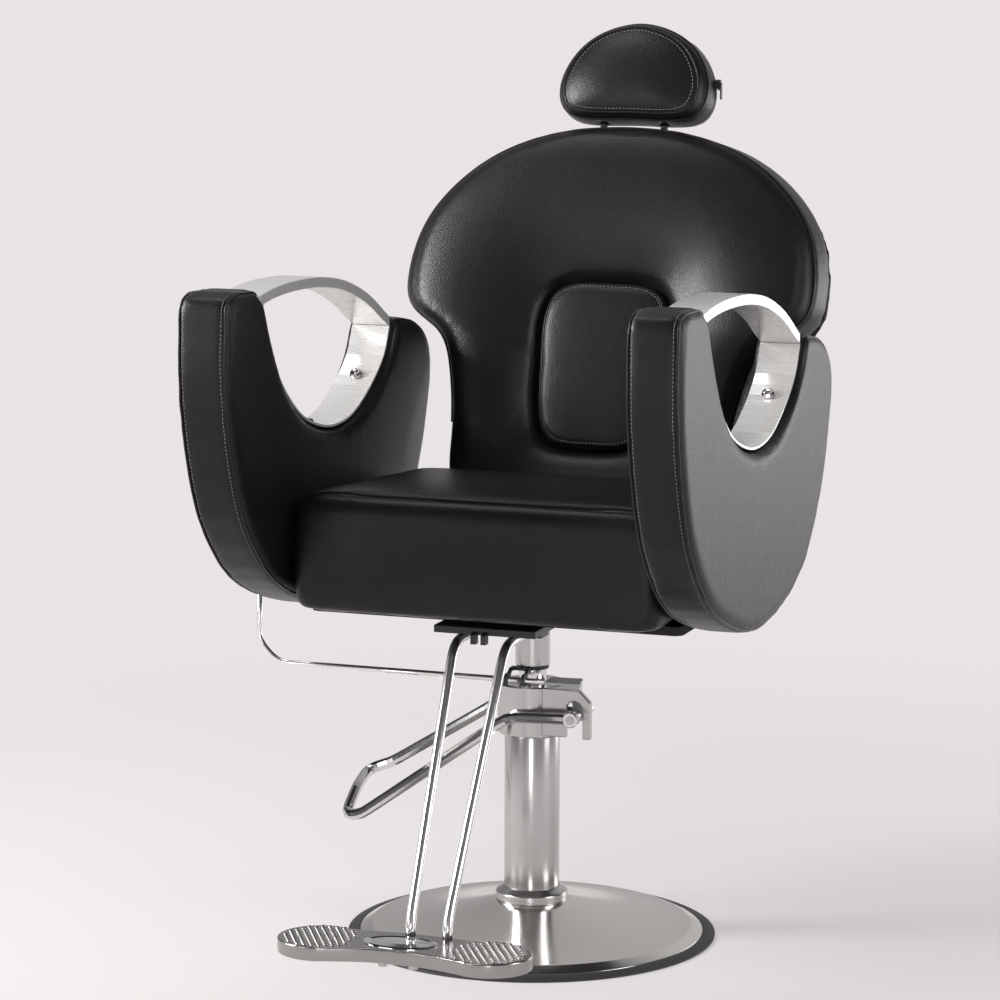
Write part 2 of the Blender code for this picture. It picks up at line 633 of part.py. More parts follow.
def build_seat():
    board_bottom = MOUNT_TOP + GAP
    ring = rounded_rectangle(-ARM_INNER + GAP, ARM_INNER - GAP, SEAT_FRONT + BOARD_INSET,
                             seat_rear(board_bottom) - 0.012, 0.012, 3, 2)
    extruded("seat_board", ring, board_bottom, board_bottom + BOARD_THICKNESS, "XY", "wood")

    shape = [(0.0, 0.040), (0.004, 0.020), (0.03, 0.0065), (0.09, 0.0015), (0.30, 0.0),
             (0.60, 0.0), (0.78, 0.0018), (0.88, 0.006), (0.95, 0.014), (0.99, 0.027),
             (1.012, 0.055), (1.026, 0.095), (1.034, 0.145)]
    rings = []
    for share, inset in shape:
        ring = []
        corner = max(0.022, 0.028 - 0.1 * inset)
        for x, y in rounded_rectangle(-SEAT_HALF_WIDTH + inset, SEAT_HALF_WIDTH - inset,
                                      SEAT_FRONT + inset, 0.2 - inset, corner, 4, 5):
            along = (y - SEAT_FRONT) / (0.2 - SEAT_FRONT)
            top = SEAT_TOP_FRONT + (SEAT_TOP_REAR - SEAT_TOP_FRONT) * along
            z = SEAT_BOTTOM + (top - SEAT_BOTTOM) * share
            stretch = (seat_rear(z) - SEAT_FRONT) / (0.2 - SEAT_FRONT)
            ring.append((x, SEAT_FRONT + (y - SEAT_FRONT) * stretch, z))
        rings.append(ring)
    middle = sum((Vector(point) for point in rings[-1]), Vector()) / len(rings[-1])
    rings.append([middle + Vector((0, 0, 0.0015))])
    loft("seat_cushion", rings, "leather")


def seat_rear(z):
    """The rear of the seat follows the raked back with an even gap."""
    return BACK_FOOT_Y + (z - BACK_FOOT_Z) * math.tan(RAKE) - SEAT_BACK_GAP


def build_release():
    """Hooks under the sleeve, the bent release rod they hold, its flag and its grip."""
    ring_top = SLEEVE_BOTTOM - GAP
    bracket = turned("release_bracket", [(RAM_RADIUS + GAP, ring_top - HOOK_WALL),
                                         (SLEEVE_RADIUS - 0.0012, ring_top - HOOK_WALL),
                                         (SLEEVE_RADIUS - 0.0012, ring_top),
                                         (RAM_RADIUS + GAP, ring_top)], "black", 32)
    inner = RELEASE_RADIUS + GAP
    outer = inner + HOOK_WALL
    tip = HEAD_TOP + 0.0034
    root = -RAM_RADIUS - 2 * GAP
    bar = [(HOOK_X[0] - HOOK_WIDTH / 2 + 0.0004, root - 0.0100),
           (HOOK_X[1] + HOOK_WIDTH / 2 - 0.0004, root - 0.0100),
           (HOOK_X[1] + HOOK_WIDTH / 2 - 0.0004, root), (HOOK_X[0] - HOOK_WIDTH / 2 + 0.0004, root)]
    combine(bracket, extruded("hook_bar", bar, ring_top - HOOK_WALL + 0.0004,
                              ring_top - 0.0004, "XY", "black"), "UNION")
    for x in HOOK_X:
        outline = [(root, ring_top), (root, ring_top - HOOK_WALL),
                   (RELEASE_Y + outer + 0.003, ring_top - HOOK_WALL),
                   (RELEASE_Y + inner + 0.0008, RELEASE_Z)]
        outline += arc((RELEASE_Y, RELEASE_Z), inner, 10, 180, 8)
        outline += [(RELEASE_Y - inner, tip), (RELEASE_Y - outer, tip)]
        outline += arc((RELEASE_Y, RELEASE_Z), outer, 180, 60, 7)
        outline.append((RELEASE_Y + outer + 0.006, ring_top))
        hook = extruded("hook", outline, x - HOOK_WIDTH / 2, x + HOOK_WIDTH / 2, "YZ", "black")
        combine(bracket, hook, "UNION")

    path = bent_path([(RELEASE_INNER_X - GAP, RELEASE_Y, RELEASE_Z),
                      (RELEASE_BEND_X, RELEASE_Y, RELEASE_Z),
                      (RELEASE_UP_X, RELEASE_Y, RELEASE_Z + 0.030),
                      (RELEASE_UP_X + 0.005, RELEASE_Y, RELEASE_TOP)], 0.018, 4)
    rod("release_rod", path, RELEASE_RADIUS, "chrome", 10)
    flag = [(RELEASE_INNER_X, RELEASE_Y - 0.007), (RELEASE_INNER_X + FLAG_LENGTH, RELEASE_Y - 0.005),
            (RELEASE_INNER_X + FLAG_LENGTH - 0.008, RELEASE_Y + 0.034),
            (RELEASE_INNER_X, RELEASE_Y + 0.030)]
    extruded("release_flag", flag, RELEASE_Z - FLAG_THICKNESS / 2,
             RELEASE_Z + FLAG_THICKNESS / 2, "XY", "steel")
    foot = RELEASE_TOP + GAP
    turned("release_grip", [(0, foot), (0.0062, foot), (0.0075, foot + 0.004),
                            (0.0080, foot + 0.030), (0.0065, foot + 0.038),
                            (0.003, foot + 0.041), (0, foot + 0.0415)], "rubber", 20, "Z",
           (path[-1].x, RELEASE_Y, 0))


# ---- footrest ---------------------------------------------------------------------------
def foot_plate_outline():
    """Two round pads joined by a waisted bridge."""
    right = []
    for k in range(0, 15):
        angle = math.radians(-118 + 236 * k / 14)
        right.append((PAD_CENTRE_X + PAD_LENGTH * math.cos(angle),
                      PAD_CENTRE_Y + PAD_WIDTH * math.sin(angle)))
    waist = PAD_CENTRE_X - PAD_LENGTH
    bend = 0.72 * waist
    rear = [(bend, WAIST_REAR - 0.001), (0.0, WAIST_REAR), (-bend, WAIST_REAR - 0.001)]
    left = [(-x, y) for x, y in reversed(right)]
    front = [(-bend, WAIST_FRONT - 0.002), (0.0, WAIST_FRONT), (bend, WAIST_FRONT - 0.002)]
    return [(p.x + FOOT_PLATE_X, p.y) for p in smooth_closed(right + rear + left + front, 72)]


def build_footrest(rod_z):
    knee = FOOT_ROD_KNEE_Y
    for side, label in ((-1, "right"), (1, "left")):
        foot_x = FOOT_ROD_OFFSET + side * FOOT_ROD_FOOT_X
        path = bent_path([(side * FOOT_ROD_TOP_X, MOUNT_FRONT + 0.150, rod_z),
                          (side * FOOT_ROD_TOP_X, knee, rod_z),
                          (foot_x, FOOT_ROD_FOOT_Y, FOOT_TOP + 0.020),
                          (foot_x, FOOT_ROD_FOOT_Y, FOOT_TOP + GAP)], 0.028, 4)
        rod("footrest_rod_" + label, path, FOOT_ROD_RADIUS, "chrome", 10)

    outline = foot_plate_outline()
    plate = extruded("foot_plate", outline, FOOT_TOP - FOOT_THICKNESS, FOOT_TOP, "XY", "steel",
                     0.0016, 2)
    recess = []
    for k in range(32):
        angle = 2 * math.pi * k / 32
        recess.append((MEDALLION_LENGTH * math.cos(angle), MEDALLION_WIDTH * math.sin(angle)))
    pocket = [(x * 1.006, MEDALLION_Y + y * 1.01) for x, y in recess]
    combine(plate, extruded("pocket", pocket, FOOT_TOP - 0.0015, FOOT_TOP + 0.01, "XY", "steel"),
            "DIFFERENCE")
    shape = [(0.92, -0.0012), (1.0, -0.0004), (1.0, 0.0008), (0.90, 0.0018), (0.80, 0.0010),
             (0.40, 0.0022)]
    rings = [[(x * scale, MEDALLION_Y + y * scale, FOOT_TOP + height) for x, y in recess]
             for scale, height in shape]
    loft("foot_medallion", rings, "chrome")

    studs = bmesh.new()
    root = 0.001
    for side in (-1, 1):
        for column, row in stud_places():
            centre = Vector((FOOT_PLATE_X + side * (PAD_CENTRE_X + column), PAD_CENTRE_Y + row,
                             FOOT_TOP + (STUD_HEIGHT - root) / 2))
            bmesh.ops.create_cone(studs, cap_ends=True, segments=4, radius1=STUD_RADIUS,
                                  radius2=STUD_RADIUS * 0.35, depth=STUD_HEIGHT + root,
                                  matrix=Matrix.Translation(centre))
    combine(plate, finish_piece("studs", studs, "steel"), "UNION")

    under = FOOT_TOP - FOOT_THICKNESS - GAP
    for side, label in ((-1, "right"), (1, "left")):
        disc("foot_plate_bolt_" + label, FOOT_BOLT_RADIUS, under - FOOT_BOLT_HEIGHT, under,
             "steel", 6, "Z", (side * FOOT_BOLT_X, FOOT_BOLT_Y, 0))

    clamp_y = MOUNT_FRONT + 0.090
    outline = [(-0.048, rod_z - 0.0105), (0.048, rod_z - 0.0105), (0.048, plate_bottom() - GAP),
               (-0.048, plate_bottom() - GAP)]
    clamp = extruded("footrest_clamp", outline, clamp_y, clamp_y + 0.030, "XZ", "black")
    for side in (-1, 1):
        hole = disc("clamp_hole", FOOT_ROD_RADIUS + 2 * GAP, clamp_y - 0.01, clamp_y + 0.04,
                    "black", 16, "Y", (side * FOOT_ROD_TOP_X, 0, rod_z))
        combine(clamp, hole, "DIFFERENCE")


def stud_places():
    """Centres of the studs of one pad, in staggered rows inside the pad's ellipse."""
    places = []
    reach = 5
    for row in range(-reach, reach + 1):
        for column in range(-reach, reach + 1):
            x = (column + 0.5 * (row % 2)) * STUD_PITCH
            y = row * STUD_PITCH * math.sqrt(0.75)
            margin = STUD_RADIUS + 0.005
            inside = (x / (PAD_LENGTH - margin)) ** 2 + (y / (PAD_WIDTH - margin)) ** 2
            if inside < 1.0:
                places.append((x, y))
    return places


# ---- arms -------------------------------------------------------------------------------
def eye_curve():
    """The open eye of an arm panel, from the front tip down and up to the rear tip (Y, Z)."""
    return smooth_open([(-0.300, 0.884), (-0.291, 0.862), (-0.270, 0.820), (-0.243, 0.780),
                        (-0.206, 0.745), (-0.158, 0.714), (-0.096, 0.694), (-0.040, 0.688),
                        (0.022, 0.696), (0.085, 0.724), (0.137, 0.761), (0.160, 0.801)], 3)


def arch_curve():
    """Top of the steel ring, from the front tip over to the joint with the liner (Y, Z)."""
    return smooth_open([(-0.3005, 0.8895), (-0.260, 0.895), (-0.207, 0.898), (-0.145, 0.8975),
                        (-0.081, 0.8935), (-0.003, 0.881), (0.080, 0.855), (0.1575, 0.8165)], 3)


def arm_outline():
    front_radius = 0.026
    top = 0.9035
    corner = arc((-0.4255 + front_radius, top - front_radius), front_radius, 180, 90, 5)
    outer = smooth_open([(0.172, 0.8155), (0.217, 0.811), (0.250, 0.802), (0.293, 0.779),
                         (0.314, 0.738), (0.299, 0.672), (0.263, 0.588), (0.177, 0.4935),
                         (0.060, 0.4565), (-0.020, 0.4480), (-0.090, 0.4500), (-0.154, 0.4655),
                         (-0.233, 0.4925), (-0.304, 0.534), (-0.374, 0.610), (-0.4135, 0.709),
                         (-0.4280, 0.800), (-0.4260, 0.855)], 2)
    crest = arc((-0.3385, top - 0.022), 0.022, 90, 40, 4)
    return [(p.x, p.y) for p in outer] + corner[1:] + crest + \
        [(p.x, p.y) for p in eye_curve()]


def build_arm(side, label):
    low = side * ARM_INNER
    high = side * (ARM_INNER + ARM_THICKNESS)
    extruded("arm_panel_" + label, arm_outline(), min(low, high), max(low, high), "YZ",
             "leather", ARM_EDGE, 1)

    middle = side * (ARM_INNER + ARM_THICKNESS / 2)
    left, right = middle - RING_WIDTH / 2, middle + RING_WIDTH / 2
    eye = eye_curve()
    outer = offset_curve(eye, -GAP - 0.0002)
    inner = offset_curve(eye, -GAP - 0.0002 - LINER_THICKNESS)
    liner_ring = outer[2:] + list(reversed(inner[2:]))
    liner = extruded("arm_liner_" + label, [(p.x, p.y) for p in liner_ring], left, right, "YZ",
                     "steel")

    crown = arch_curve()
    under = offset_curve(crown, RING_THICKNESS)
    under[0] = inner[2] + Vector((0.0006, 0.0006))
    under[-1] = inner[-1] + Vector((-0.0002, GAP + 0.0003))
    foot = [outer[-1] + Vector((0.0000, GAP + 0.0003))]
    heel = [outer[2] + Vector((0.0, 0.0007)), outer[0]]
    arch_ring = crown + foot + list(reversed(under)) + heel
    extruded("arm_arch_" + label, [(p.x, p.y) for p in arch_ring], left, right, "YZ", "steel",
             0.0008, 1)

    for place, index in ARM_BOLT_PLACES.items():
        ahead = (eye[index + 1] - eye[index - 1]).normalized()
        inward = Vector((-ahead.y, ahead.x))
        seat = eye[index] + inward * (LINER_THICKNESS + 2 * GAP + 0.0009)
        build_arm_bolt(f"arm_bolt_{label}_{place}", Vector((middle, seat.x, seat.y)),
                       Vector((0, inward.x, inward.y)))
        drill = disc("bolt_hole", ARM_BOLT_SHANK + GAP, -0.012, 0.012, "steel", 16)
        drill.matrix_world = Matrix.Translation((middle, seat.x, seat.y)) @ \
            Vector((0, inward.x, inward.y)).to_track_quat("Z", "X").to_matrix().to_4x4()
        combine(liner, drill, "DIFFERENCE")


def build_arm_bolt(name, seat, outward):
    """A button-head bolt with a round socket; its shank reaches into the liner."""
    head = ARM_BOLT_HEAD
    outline = [(0, -LINER_THICKNESS), (ARM_BOLT_SHANK, -LINER_THICKNESS), (ARM_BOLT_SHANK, 0),
               (head, 0), (head, 0.0035), (head * 0.8, 0.0062), (head * 0.45, 0.0072),
               (head * 0.42, 0.0045), (0, 0.0045)]
    bolt = turned(name, outline, "chrome", 12)
    turn = outward.to_track_quat("Z", "X").to_matrix().to_4x4()
    bolt.matrix_world = Matrix.Translation(seat) @ turn


# ---- back and headrest ------------------------------------------------------------------
ALONG = Vector((0, math.sin(RAKE), math.cos(RAKE)))      # up the raked back
FORWARD = Vector((0, -math.cos(RAKE), math.sin(RAKE)))   # out of its front face
BACK_FOOT = Vector((0, BACK_FOOT_Y, BACK_FOOT_Z))


def on_back(x, s, n):
    """World point of a place across, along and out of the back's front plane."""
    return BACK_FOOT + Vector((x, 0, 0)) + s * ALONG + n * FORWARD


def recline_axis():
    """Centre of the recline shaft: behind the front plane, under the stem."""
    s = (PIVOT_BACK_Z - BACK_FOOT_Z + PIVOT_BACK_DEPTH * math.sin(RAKE)) / math.cos(RAKE)
    return s, on_back(0, s, -PIVOT_BACK_DEPTH)


def back_outline(count):
    stem_bottom = recline_axis()[0] + RECLINE_SHAFT_RADIUS + 2 * GAP + 0.0006
    half = [(0.0, stem_bottom), (0.10, stem_bottom), (0.170, stem_bottom),
            (0.1935, stem_bottom + 0.008), (0.1965, stem_bottom + 0.035),
            (STEM_HALF_WIDTH, 0.016), (0.208, 0.080), (0.218, 0.141), (0.231, 0.196),
            (0.240, 0.213), (0.256, 0.227), (0.280, 0.232), (BACK_HALF_WIDTH - 0.003, 0.243),
            (BACK_HALF_WIDTH + 0.003, 0.270), (BACK_HALF_WIDTH, 0.330), (0.284, 0.386),
            (0.242, 0.442), (0.191, 0.482), (0.144, 0.504), (0.080, BACK_TOP - 0.006),
            (0.0, BACK_TOP)]
    mirrored = [(-x, s) for x, s in reversed(half[1:-1])]
    return smooth_closed(half + mirrored, count)


def pad_radius(angle, shrink):
    """Distance to the rounded-square pad's edge: a superellipse that narrows downwards."""
    half_height = (PAD_TOP - PAD_BOTTOM) / 2 - shrink
    half_width = (PAD_HALF_WIDTH - shrink) * (1 + 0.08 * math.sin(angle))
    power = 4.2
    return (abs(math.cos(angle) / half_width) ** power
            + abs(math.sin(angle) / half_height) ** power) ** (-1 / power)


def build_back():
    centre = Vector((0.0, (PAD_TOP + PAD_BOTTOM) / 2))
    edge = back_outline(52)
    angles = [math.atan2(p.y - centre.y, p.x) for p in edge]

    def ring(share, n, inset=0.0, pad_shrink=0.0, swell=0.0):
        points = []
        for p, angle in zip(edge, angles):
            wide = min(1.0, abs(p.x) / 0.14) * min(1.0, max(0.0, (p.y - 0.20) / 0.22))
            reach = (p - centre).length - inset + swell * wide
            outer = centre + (p - centre).normalized() * reach
            inner = centre + pad_radius(angle, pad_shrink) * Vector((math.cos(angle),
                                                                     math.sin(angle)))
            place = outer.lerp(inner, share)
            free = min(1.0, max(0.0, (place.y - SEAT_LINE) / CROWN_RUN))
            points.append(on_back(place.x, place.y, n * free if n > 0 else n))
        return points

    rear = -BACK_THICKNESS
    cushion = [ring(0, rear, 0.005, 0, REAR_SWELL), ring(0, rear + 0.006, 0.001, 0, REAR_SWELL),
               ring(0, rear + 0.022, 0, 0, REAR_SWELL * 0.9), ring(0, -0.018),
               ring(0, -0.005, 0.003), ring(0, 0.003, 0.010),
               ring(0.14, 0.0125), ring(0.32, 0.0180), ring(0.52, 0.0170),
               ring(0.72, 0.0085), ring(0.88, -0.0050), ring(0.97, -0.0130),
               ring(1, -0.0200), ring(1, -PAD_RECESS - 0.014)]
    body = loft("back_cushion", cushion, "leather")
    for side in (-1, 1):
        drill = rod("post_bore", [on_back(side * POST_X, post_foot() - 0.006, -POST_DEPTH),
                                  on_back(side * POST_X, BACK_TOP + 0.05, -POST_DEPTH)],
                    SOCKET_RADIUS + 2 * GAP, "black", 12)
        combine(body, drill, "DIFFERENCE")

    shrink = GAP + 0.0003
    floor = -PAD_RECESS - 0.014 + GAP
    pad = [ring(1, floor, 0, 0.004), ring(1, floor + 0.004, 0, shrink),
           ring(1, -0.0210, 0, shrink), ring(1, -0.0150, 0, 0.0050),
           ring(1, -0.0110, 0, 0.0140), ring(1, -0.0085, 0, 0.0300),
           ring(1, -0.0075, 0, 0.0550), [on_back(0, centre.y, -0.0070)]]
    loft("back_center_pad", pad, "leather")

    board_front = rear - GAP
    board_rear = board_front - BACK_BOARD_THICKNESS
    board = [ring(0, board_front, 0.005, 0, REAR_SWELL),
             ring(0, board_front - 0.003, 0.001, 0, REAR_SWELL),
             ring(0, board_rear + 0.006, 0.001, 0, REAR_SWELL),
             ring(0, board_rear, 0.008, 0, REAR_SWELL)]
    loft("back_board", board, "leather")

    for side, label in ((-1, "right"), (1, "left")):
        foot = post_foot() - 0.006 + GAP
        path = [on_back(side * POST_X, foot, -POST_DEPTH),
                on_back(side * POST_X, BACK_TOP - 0.006, -POST_DEPTH)]
        socket = rod("headrest_socket_" + label, path, SOCKET_RADIUS, "black", 12)
        bore = [on_back(side * POST_X, foot + 0.003, -POST_DEPTH),
                on_back(side * POST_X, BACK_TOP + 0.05, -POST_DEPTH)]
        combine(socket, rod("socket_bore", bore, POST_RADIUS + 2 * RUN, "black", 12),
                "DIFFERENCE")


def post_foot():
    return HEADREST_BOTTOM + POST_IN_HEADREST - POST_LENGTH


def build_headrest():
    half = [(0.0, HEADREST_BOTTOM), (0.055, HEADREST_BOTTOM - 0.001),
            (0.090, HEADREST_BOTTOM + 0.002), (0.1075, HEADREST_BOTTOM + 0.015),
            (HEADREST_HALF_WIDTH, HEADREST_BOTTOM + 0.043),
            (0.1095, HEADREST_BOTTOM + 0.068), (0.096, HEADREST_BOTTOM + 0.096),
            (0.074, HEADREST_BOTTOM + 0.120), (0.042, HEADREST_BOTTOM + 0.137),
            (0.0, HEADREST_TOP)]
    mirrored = [(-x, s) for x, s in reversed(half[1:-1])]
    edge = smooth_closed(half + mirrored, 36)
    centre = Vector((0.0, HEADREST_BOTTOM + 0.062))
    lean = 0.09              # the rear face sits a little higher than the front one

    def ring(inset, n):
        points = []
        for p in edge:
            place = centre + (p - centre) * (1 - inset / 0.085)
            points.append(on_back(place.x, place.y - n * lean, n))
        return points

    front = HEADREST_FRONT
    rear = front - HEADREST_THICKNESS
    shape = [(0.060, rear - 0.0030), (0.035, rear - 0.0010), (0.016, rear + 0.002),
             (0.006, rear + 0.007), (0.001, rear + 0.016), (0.0, rear + 0.032),
             (0.002, front - 0.016), (0.006, front - 0.006), (0.011, front - 0.002),
             (0.018, front + 0.003), (0.034, front + 0.009), (0.055, front + 0.0125)]
    rings = [[on_back(0, centre.y + 0.06 * lean, rear - 0.0035)]]
    rings += [ring(inset, n) for inset, n in shape]
    rings.append([on_back(0, centre.y, front + 0.0135)])
    cushion = loft("headrest_cushion", rings, "leather")
    top = HEADREST_BOTTOM + POST_IN_HEADREST
    for side, label in ((-1, "right"), (1, "left")):
        bore = [on_back(side * POST_X, HEADREST_BOTTOM - 0.04, -POST_DEPTH),
                on_back(side * POST_X, top + GAP, -POST_DEPTH)]
        combine(cushion, rod("headrest_bore", bore, POST_RADIUS + GAP, "leather", 12),
                "DIFFERENCE")
        post = [on_back(side * POST_X, post_foot(), -POST_DEPTH),
                on_back(side * POST_X, top, -POST_DEPTH)]
        rod("headrest_post_" + label, post, POST_RADIUS, "chrome", 12)
    build_zip(edge, lean, rear + 0.030)


def edge_reach(edge, height):
    """How far the closed edge reaches to +X at a height."""
    reach = 0.0
    for a, b in zip(edge, edge[1:] + edge[:1]):
        if min(a.y, b.y) <= height <= max(a.y, b.y) and a.y != b.y:
            reach = max(reach, a.x + (b.x - a.x) * (height - a.y) / (b.y - a.y))
    return reach


def build_zip(edge, lean, n):
    """Slider of the cover's zip on the left end of the headrest, and its hanging pull."""
    s = HEADREST_BOTTOM + ZIP_HEIGHT
    x = HEADREST_HALF_WIDTH + GAP
    outline = [(-0.0045, -0.006), (0.0045, -0.006), (0.0055, 0.004), (0.002, 0.008),
               (-0.002, 0.008), (-0.0055, 0.004)]
    seat = [on_back(edge_reach(edge, s + v + n * lean) + 2 * GAP, s + v, n + u)
            for u, v in outline]
    face = [on_back(x + 0.0032, s + v, n + u) for u, v in outline]
    loft("zip_slider", [seat, face], "steel")
    pull_x = x + 0.0032 + GAP
    leaf = [(-0.0035, 0.003), (0.0, 0.0045), (0.0035, 0.003), (0.0042, -0.016),
            (0.0025, -0.020), (-0.0025, -0.020), (-0.0042, -0.016)]
    hinge = on_back(pull_x, s, n)
    rings = [[hinge + Vector((depth, u, v)) for u, v in leaf] for depth in (0.0, 0.0014)]
    loft("zip_pull", rings, "steel", hinge)


# ---- recline mechanism ------------------------------------------------------------------
def build_recline():
    s, pivot = recline_axis()
    inner_x = STEM_HALF_WIDTH + 0.0035
    plate = 0.004
    reach = inner_x + plate + 0.003
    frame = disc("back_frame", RECLINE_SHAFT_RADIUS, -reach, reach, "black", 16, "X",
                 (0, pivot.y, pivot.z))
    rear = -BACK_THICKNESS - 2 * GAP - BACK_BOARD_THICKNESS
    under = -RECLINE_SHAFT_RADIUS * 0.8
    strap = [(rear, 0.12), (rear - STRAP, 0.12), (rear - STRAP, s + under - STRAP),
             (-PIVOT_BACK_DEPTH, s + under - STRAP), (-PIVOT_BACK_DEPTH, s + under + 0.001),
             (rear, s + under + 0.001)]
    for x in (-0.150, 0.120):
        rings = [[on_back(edge, along, n) for n, along in strap] for edge in (x, x + 0.030)]
        combine(frame, loft("strap", rings, "black"), "UNION")

    lever_end = strut_pin(0.0)
    down = (lever_end - pivot).normalized()
    across = Vector((0, down.z, -down.y))
    start = [pivot + across * 0.0070, pivot - across * 0.0070]
    tip = []
    for k in range(11):
        angle = math.pi * (k / 10) - math.pi / 2
        tip.append(lever_end + LEVER_TIP * (math.cos(angle) * down + math.sin(angle) * across))
    outline = [start[1]] + tip + [start[0]]
    left = STRUT_X - 0.0125
    rings = [[point + Vector((edge, 0, 0)) for point in outline] for edge in (left, left + plate)]
    combine(frame, loft("lever_arm", rings, "black"), "UNION")
    hole = disc("lever_hole", LEVER_TIP - 0.0045, left - 0.01, left + plate + 0.01, "black", 16,
                "X", (0, lever_end.y, lever_end.z))
    combine(frame, hole, "DIFFERENCE")

    for side, label in ((-1, "right"), (1, "left")):
        build_hinge_bracket(side, label, inner_x, plate, pivot)
    build_strut()


def build_hinge_bracket(side, label, inner_x, plate, pivot):
    """Steel plate from under the seat board, up behind the seat to the recline shaft."""
    top = MOUNT_TOP
    rear = pivot.y + 0.016
    clear = seat_rear(MOUNT_TOP + GAP + BOARD_THICKNESS) + 0.0025
    outline = [(0.02, top - 0.004), (clear - 0.012, top - 0.022), (rear, pivot.z - 0.030)]
    outline += arc((pivot.y, pivot.z), 0.016, 0, 160, 8)
    outline += [(clear + 0.004, pivot.z - 0.035), (clear, top), (0.02, top)]
    low = side * inner_x
    high = side * (inner_x + plate)
    bracket = extruded("hinge_bracket_" + label, outline, min(low, high), max(low, high), "YZ",
                       "black")
    flange_low = side * (inner_x + 0.001)
    flange_high = side * (inner_x + 0.038)
    flange = extruded("flange", [(0.022, top - 0.004), (0.115, top - 0.004), (0.115, top),
                                 (0.022, top)], min(flange_low, flange_high),
                      max(flange_low, flange_high), "YZ", "black")
    combine(bracket, flange, "UNION")
    hole = disc("hinge_hole", RECLINE_SHAFT_RADIUS + RUN, min(low, high) - 0.01,
                max(low, high) + 0.01, "black", 16, "X", (0, pivot.y, pivot.z))
    combine(bracket, hole, "DIFFERENCE")


def strut_pin(recline):
    """Where the lever arm holds the strut's pin when the back is reclined by an angle."""
    pivot = recline_axis()[1]
    angle = RECLINE_RANGE / 2 - recline
    return pivot + RECLINE_LEVER * Vector((0, math.sin(angle), -math.cos(angle)))


def build_strut():
    """Gas strut under the seat; its pin has play in the lever arm's wide hole."""
    start = strut_pin(0.0)
    z = (strut_pin(0.0).z + strut_pin(RECLINE_RANGE / 2).z) / 2
    travel = start.y - strut_pin(RECLINE_RANGE).y
    eye = 0.009
    mouth = start.y - travel - eye - 0.008
    anchor = mouth - STRUT_BODY
    bore = STRUT_RADIUS - 0.0025
    cylinder = turned("strut_cylinder", [
        (0, anchor + 0.016), (STRUT_RADIUS, anchor + 0.016), (STRUT_RADIUS, mouth - 0.002),
        (STRUT_RADIUS - 0.002, mouth), (STRUT_ROD_RADIUS + RUN, mouth),
        (STRUT_ROD_RADIUS + RUN, mouth - 0.012), (bore, mouth - 0.012), (bore, anchor + 0.022),
        (0, anchor + 0.022)], "black", 16, "Y", (STRUT_X, 0, z))
    tongue = extruded("tongue", [(anchor - 0.008, z - 0.007), (anchor + 0.018, z - 0.007),
                                 (anchor + 0.018, z + 0.007), (anchor - 0.008, z + 0.007)],
                      STRUT_X - 0.003, STRUT_X + 0.003, "YZ", "black")
    hole = disc("tongue_hole", 0.004 + GAP, STRUT_X - 0.02, STRUT_X + 0.02, "black", 16, "X",
                (0, anchor, z))
    combine(tongue, hole, "DIFFERENCE")
    combine(cylinder, tongue, "UNION")

    ear = 0.004
    half = 0.003 + GAP
    outline = [(STRUT_X - half - ear, z - 0.010), (STRUT_X - half, z - 0.010),
               (STRUT_X - half, MOUNT_TOP - ear), (STRUT_X + half, MOUNT_TOP - ear),
               (STRUT_X + half, z - 0.010), (STRUT_X + half + ear, z - 0.010),
               (STRUT_X + half + ear, MOUNT_TOP), (STRUT_X - half - ear, MOUNT_TOP)]
    bracket = extruded("strut_bracket", outline, anchor - 0.009, anchor + 0.009, "XZ", "black")
    pin = disc("pin", 0.004, STRUT_X - half - ear - 0.002, STRUT_X + half + ear + 0.002,
               "black", 16, "X", (0, anchor, z))
    combine(bracket, pin, "UNION")

    inside = mouth - STRUT_BODY + 0.022 + travel + 0.008
    strut = disc("strut_rod", STRUT_ROD_RADIUS, inside, start.y - eye + 0.003, "chrome", 20,
                 "Y", (STRUT_X, 0, z))
    end = disc("eye", eye, STRUT_X - 0.0070, STRUT_X + 0.0050, "chrome", 20, "X",
               (0, start.y, z))
    combine(strut, end, "UNION")
    stub = disc("stub", 0.0035, STRUT_X - 0.0150, STRUT_X - 0.005, "chrome", 16, "X",
                (0, start.y, z))
    combine(strut, stub, "UNION")


def build_chair():
    clear_scene()
    tube_foot = build_base()
    build_pump(tube_foot)
    build_lever_shaft()
    build_foot_lever()
    build_ram()
    rod_z = build_swivel()
    build_seat()
    build_release()
    build_footrest(rod_z)
    build_arm(-1, "right")
    build_arm(1, "left")
    build_back()
    build_headrest()
    build_recline()


build_chair()
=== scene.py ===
"""Dressed model of the hydraulic barber chair: fine surfaces, leather, metal, light."""
import json
import math
import bmesh
import bpy
import numpy as np
from mathutils import Matrix, Vector


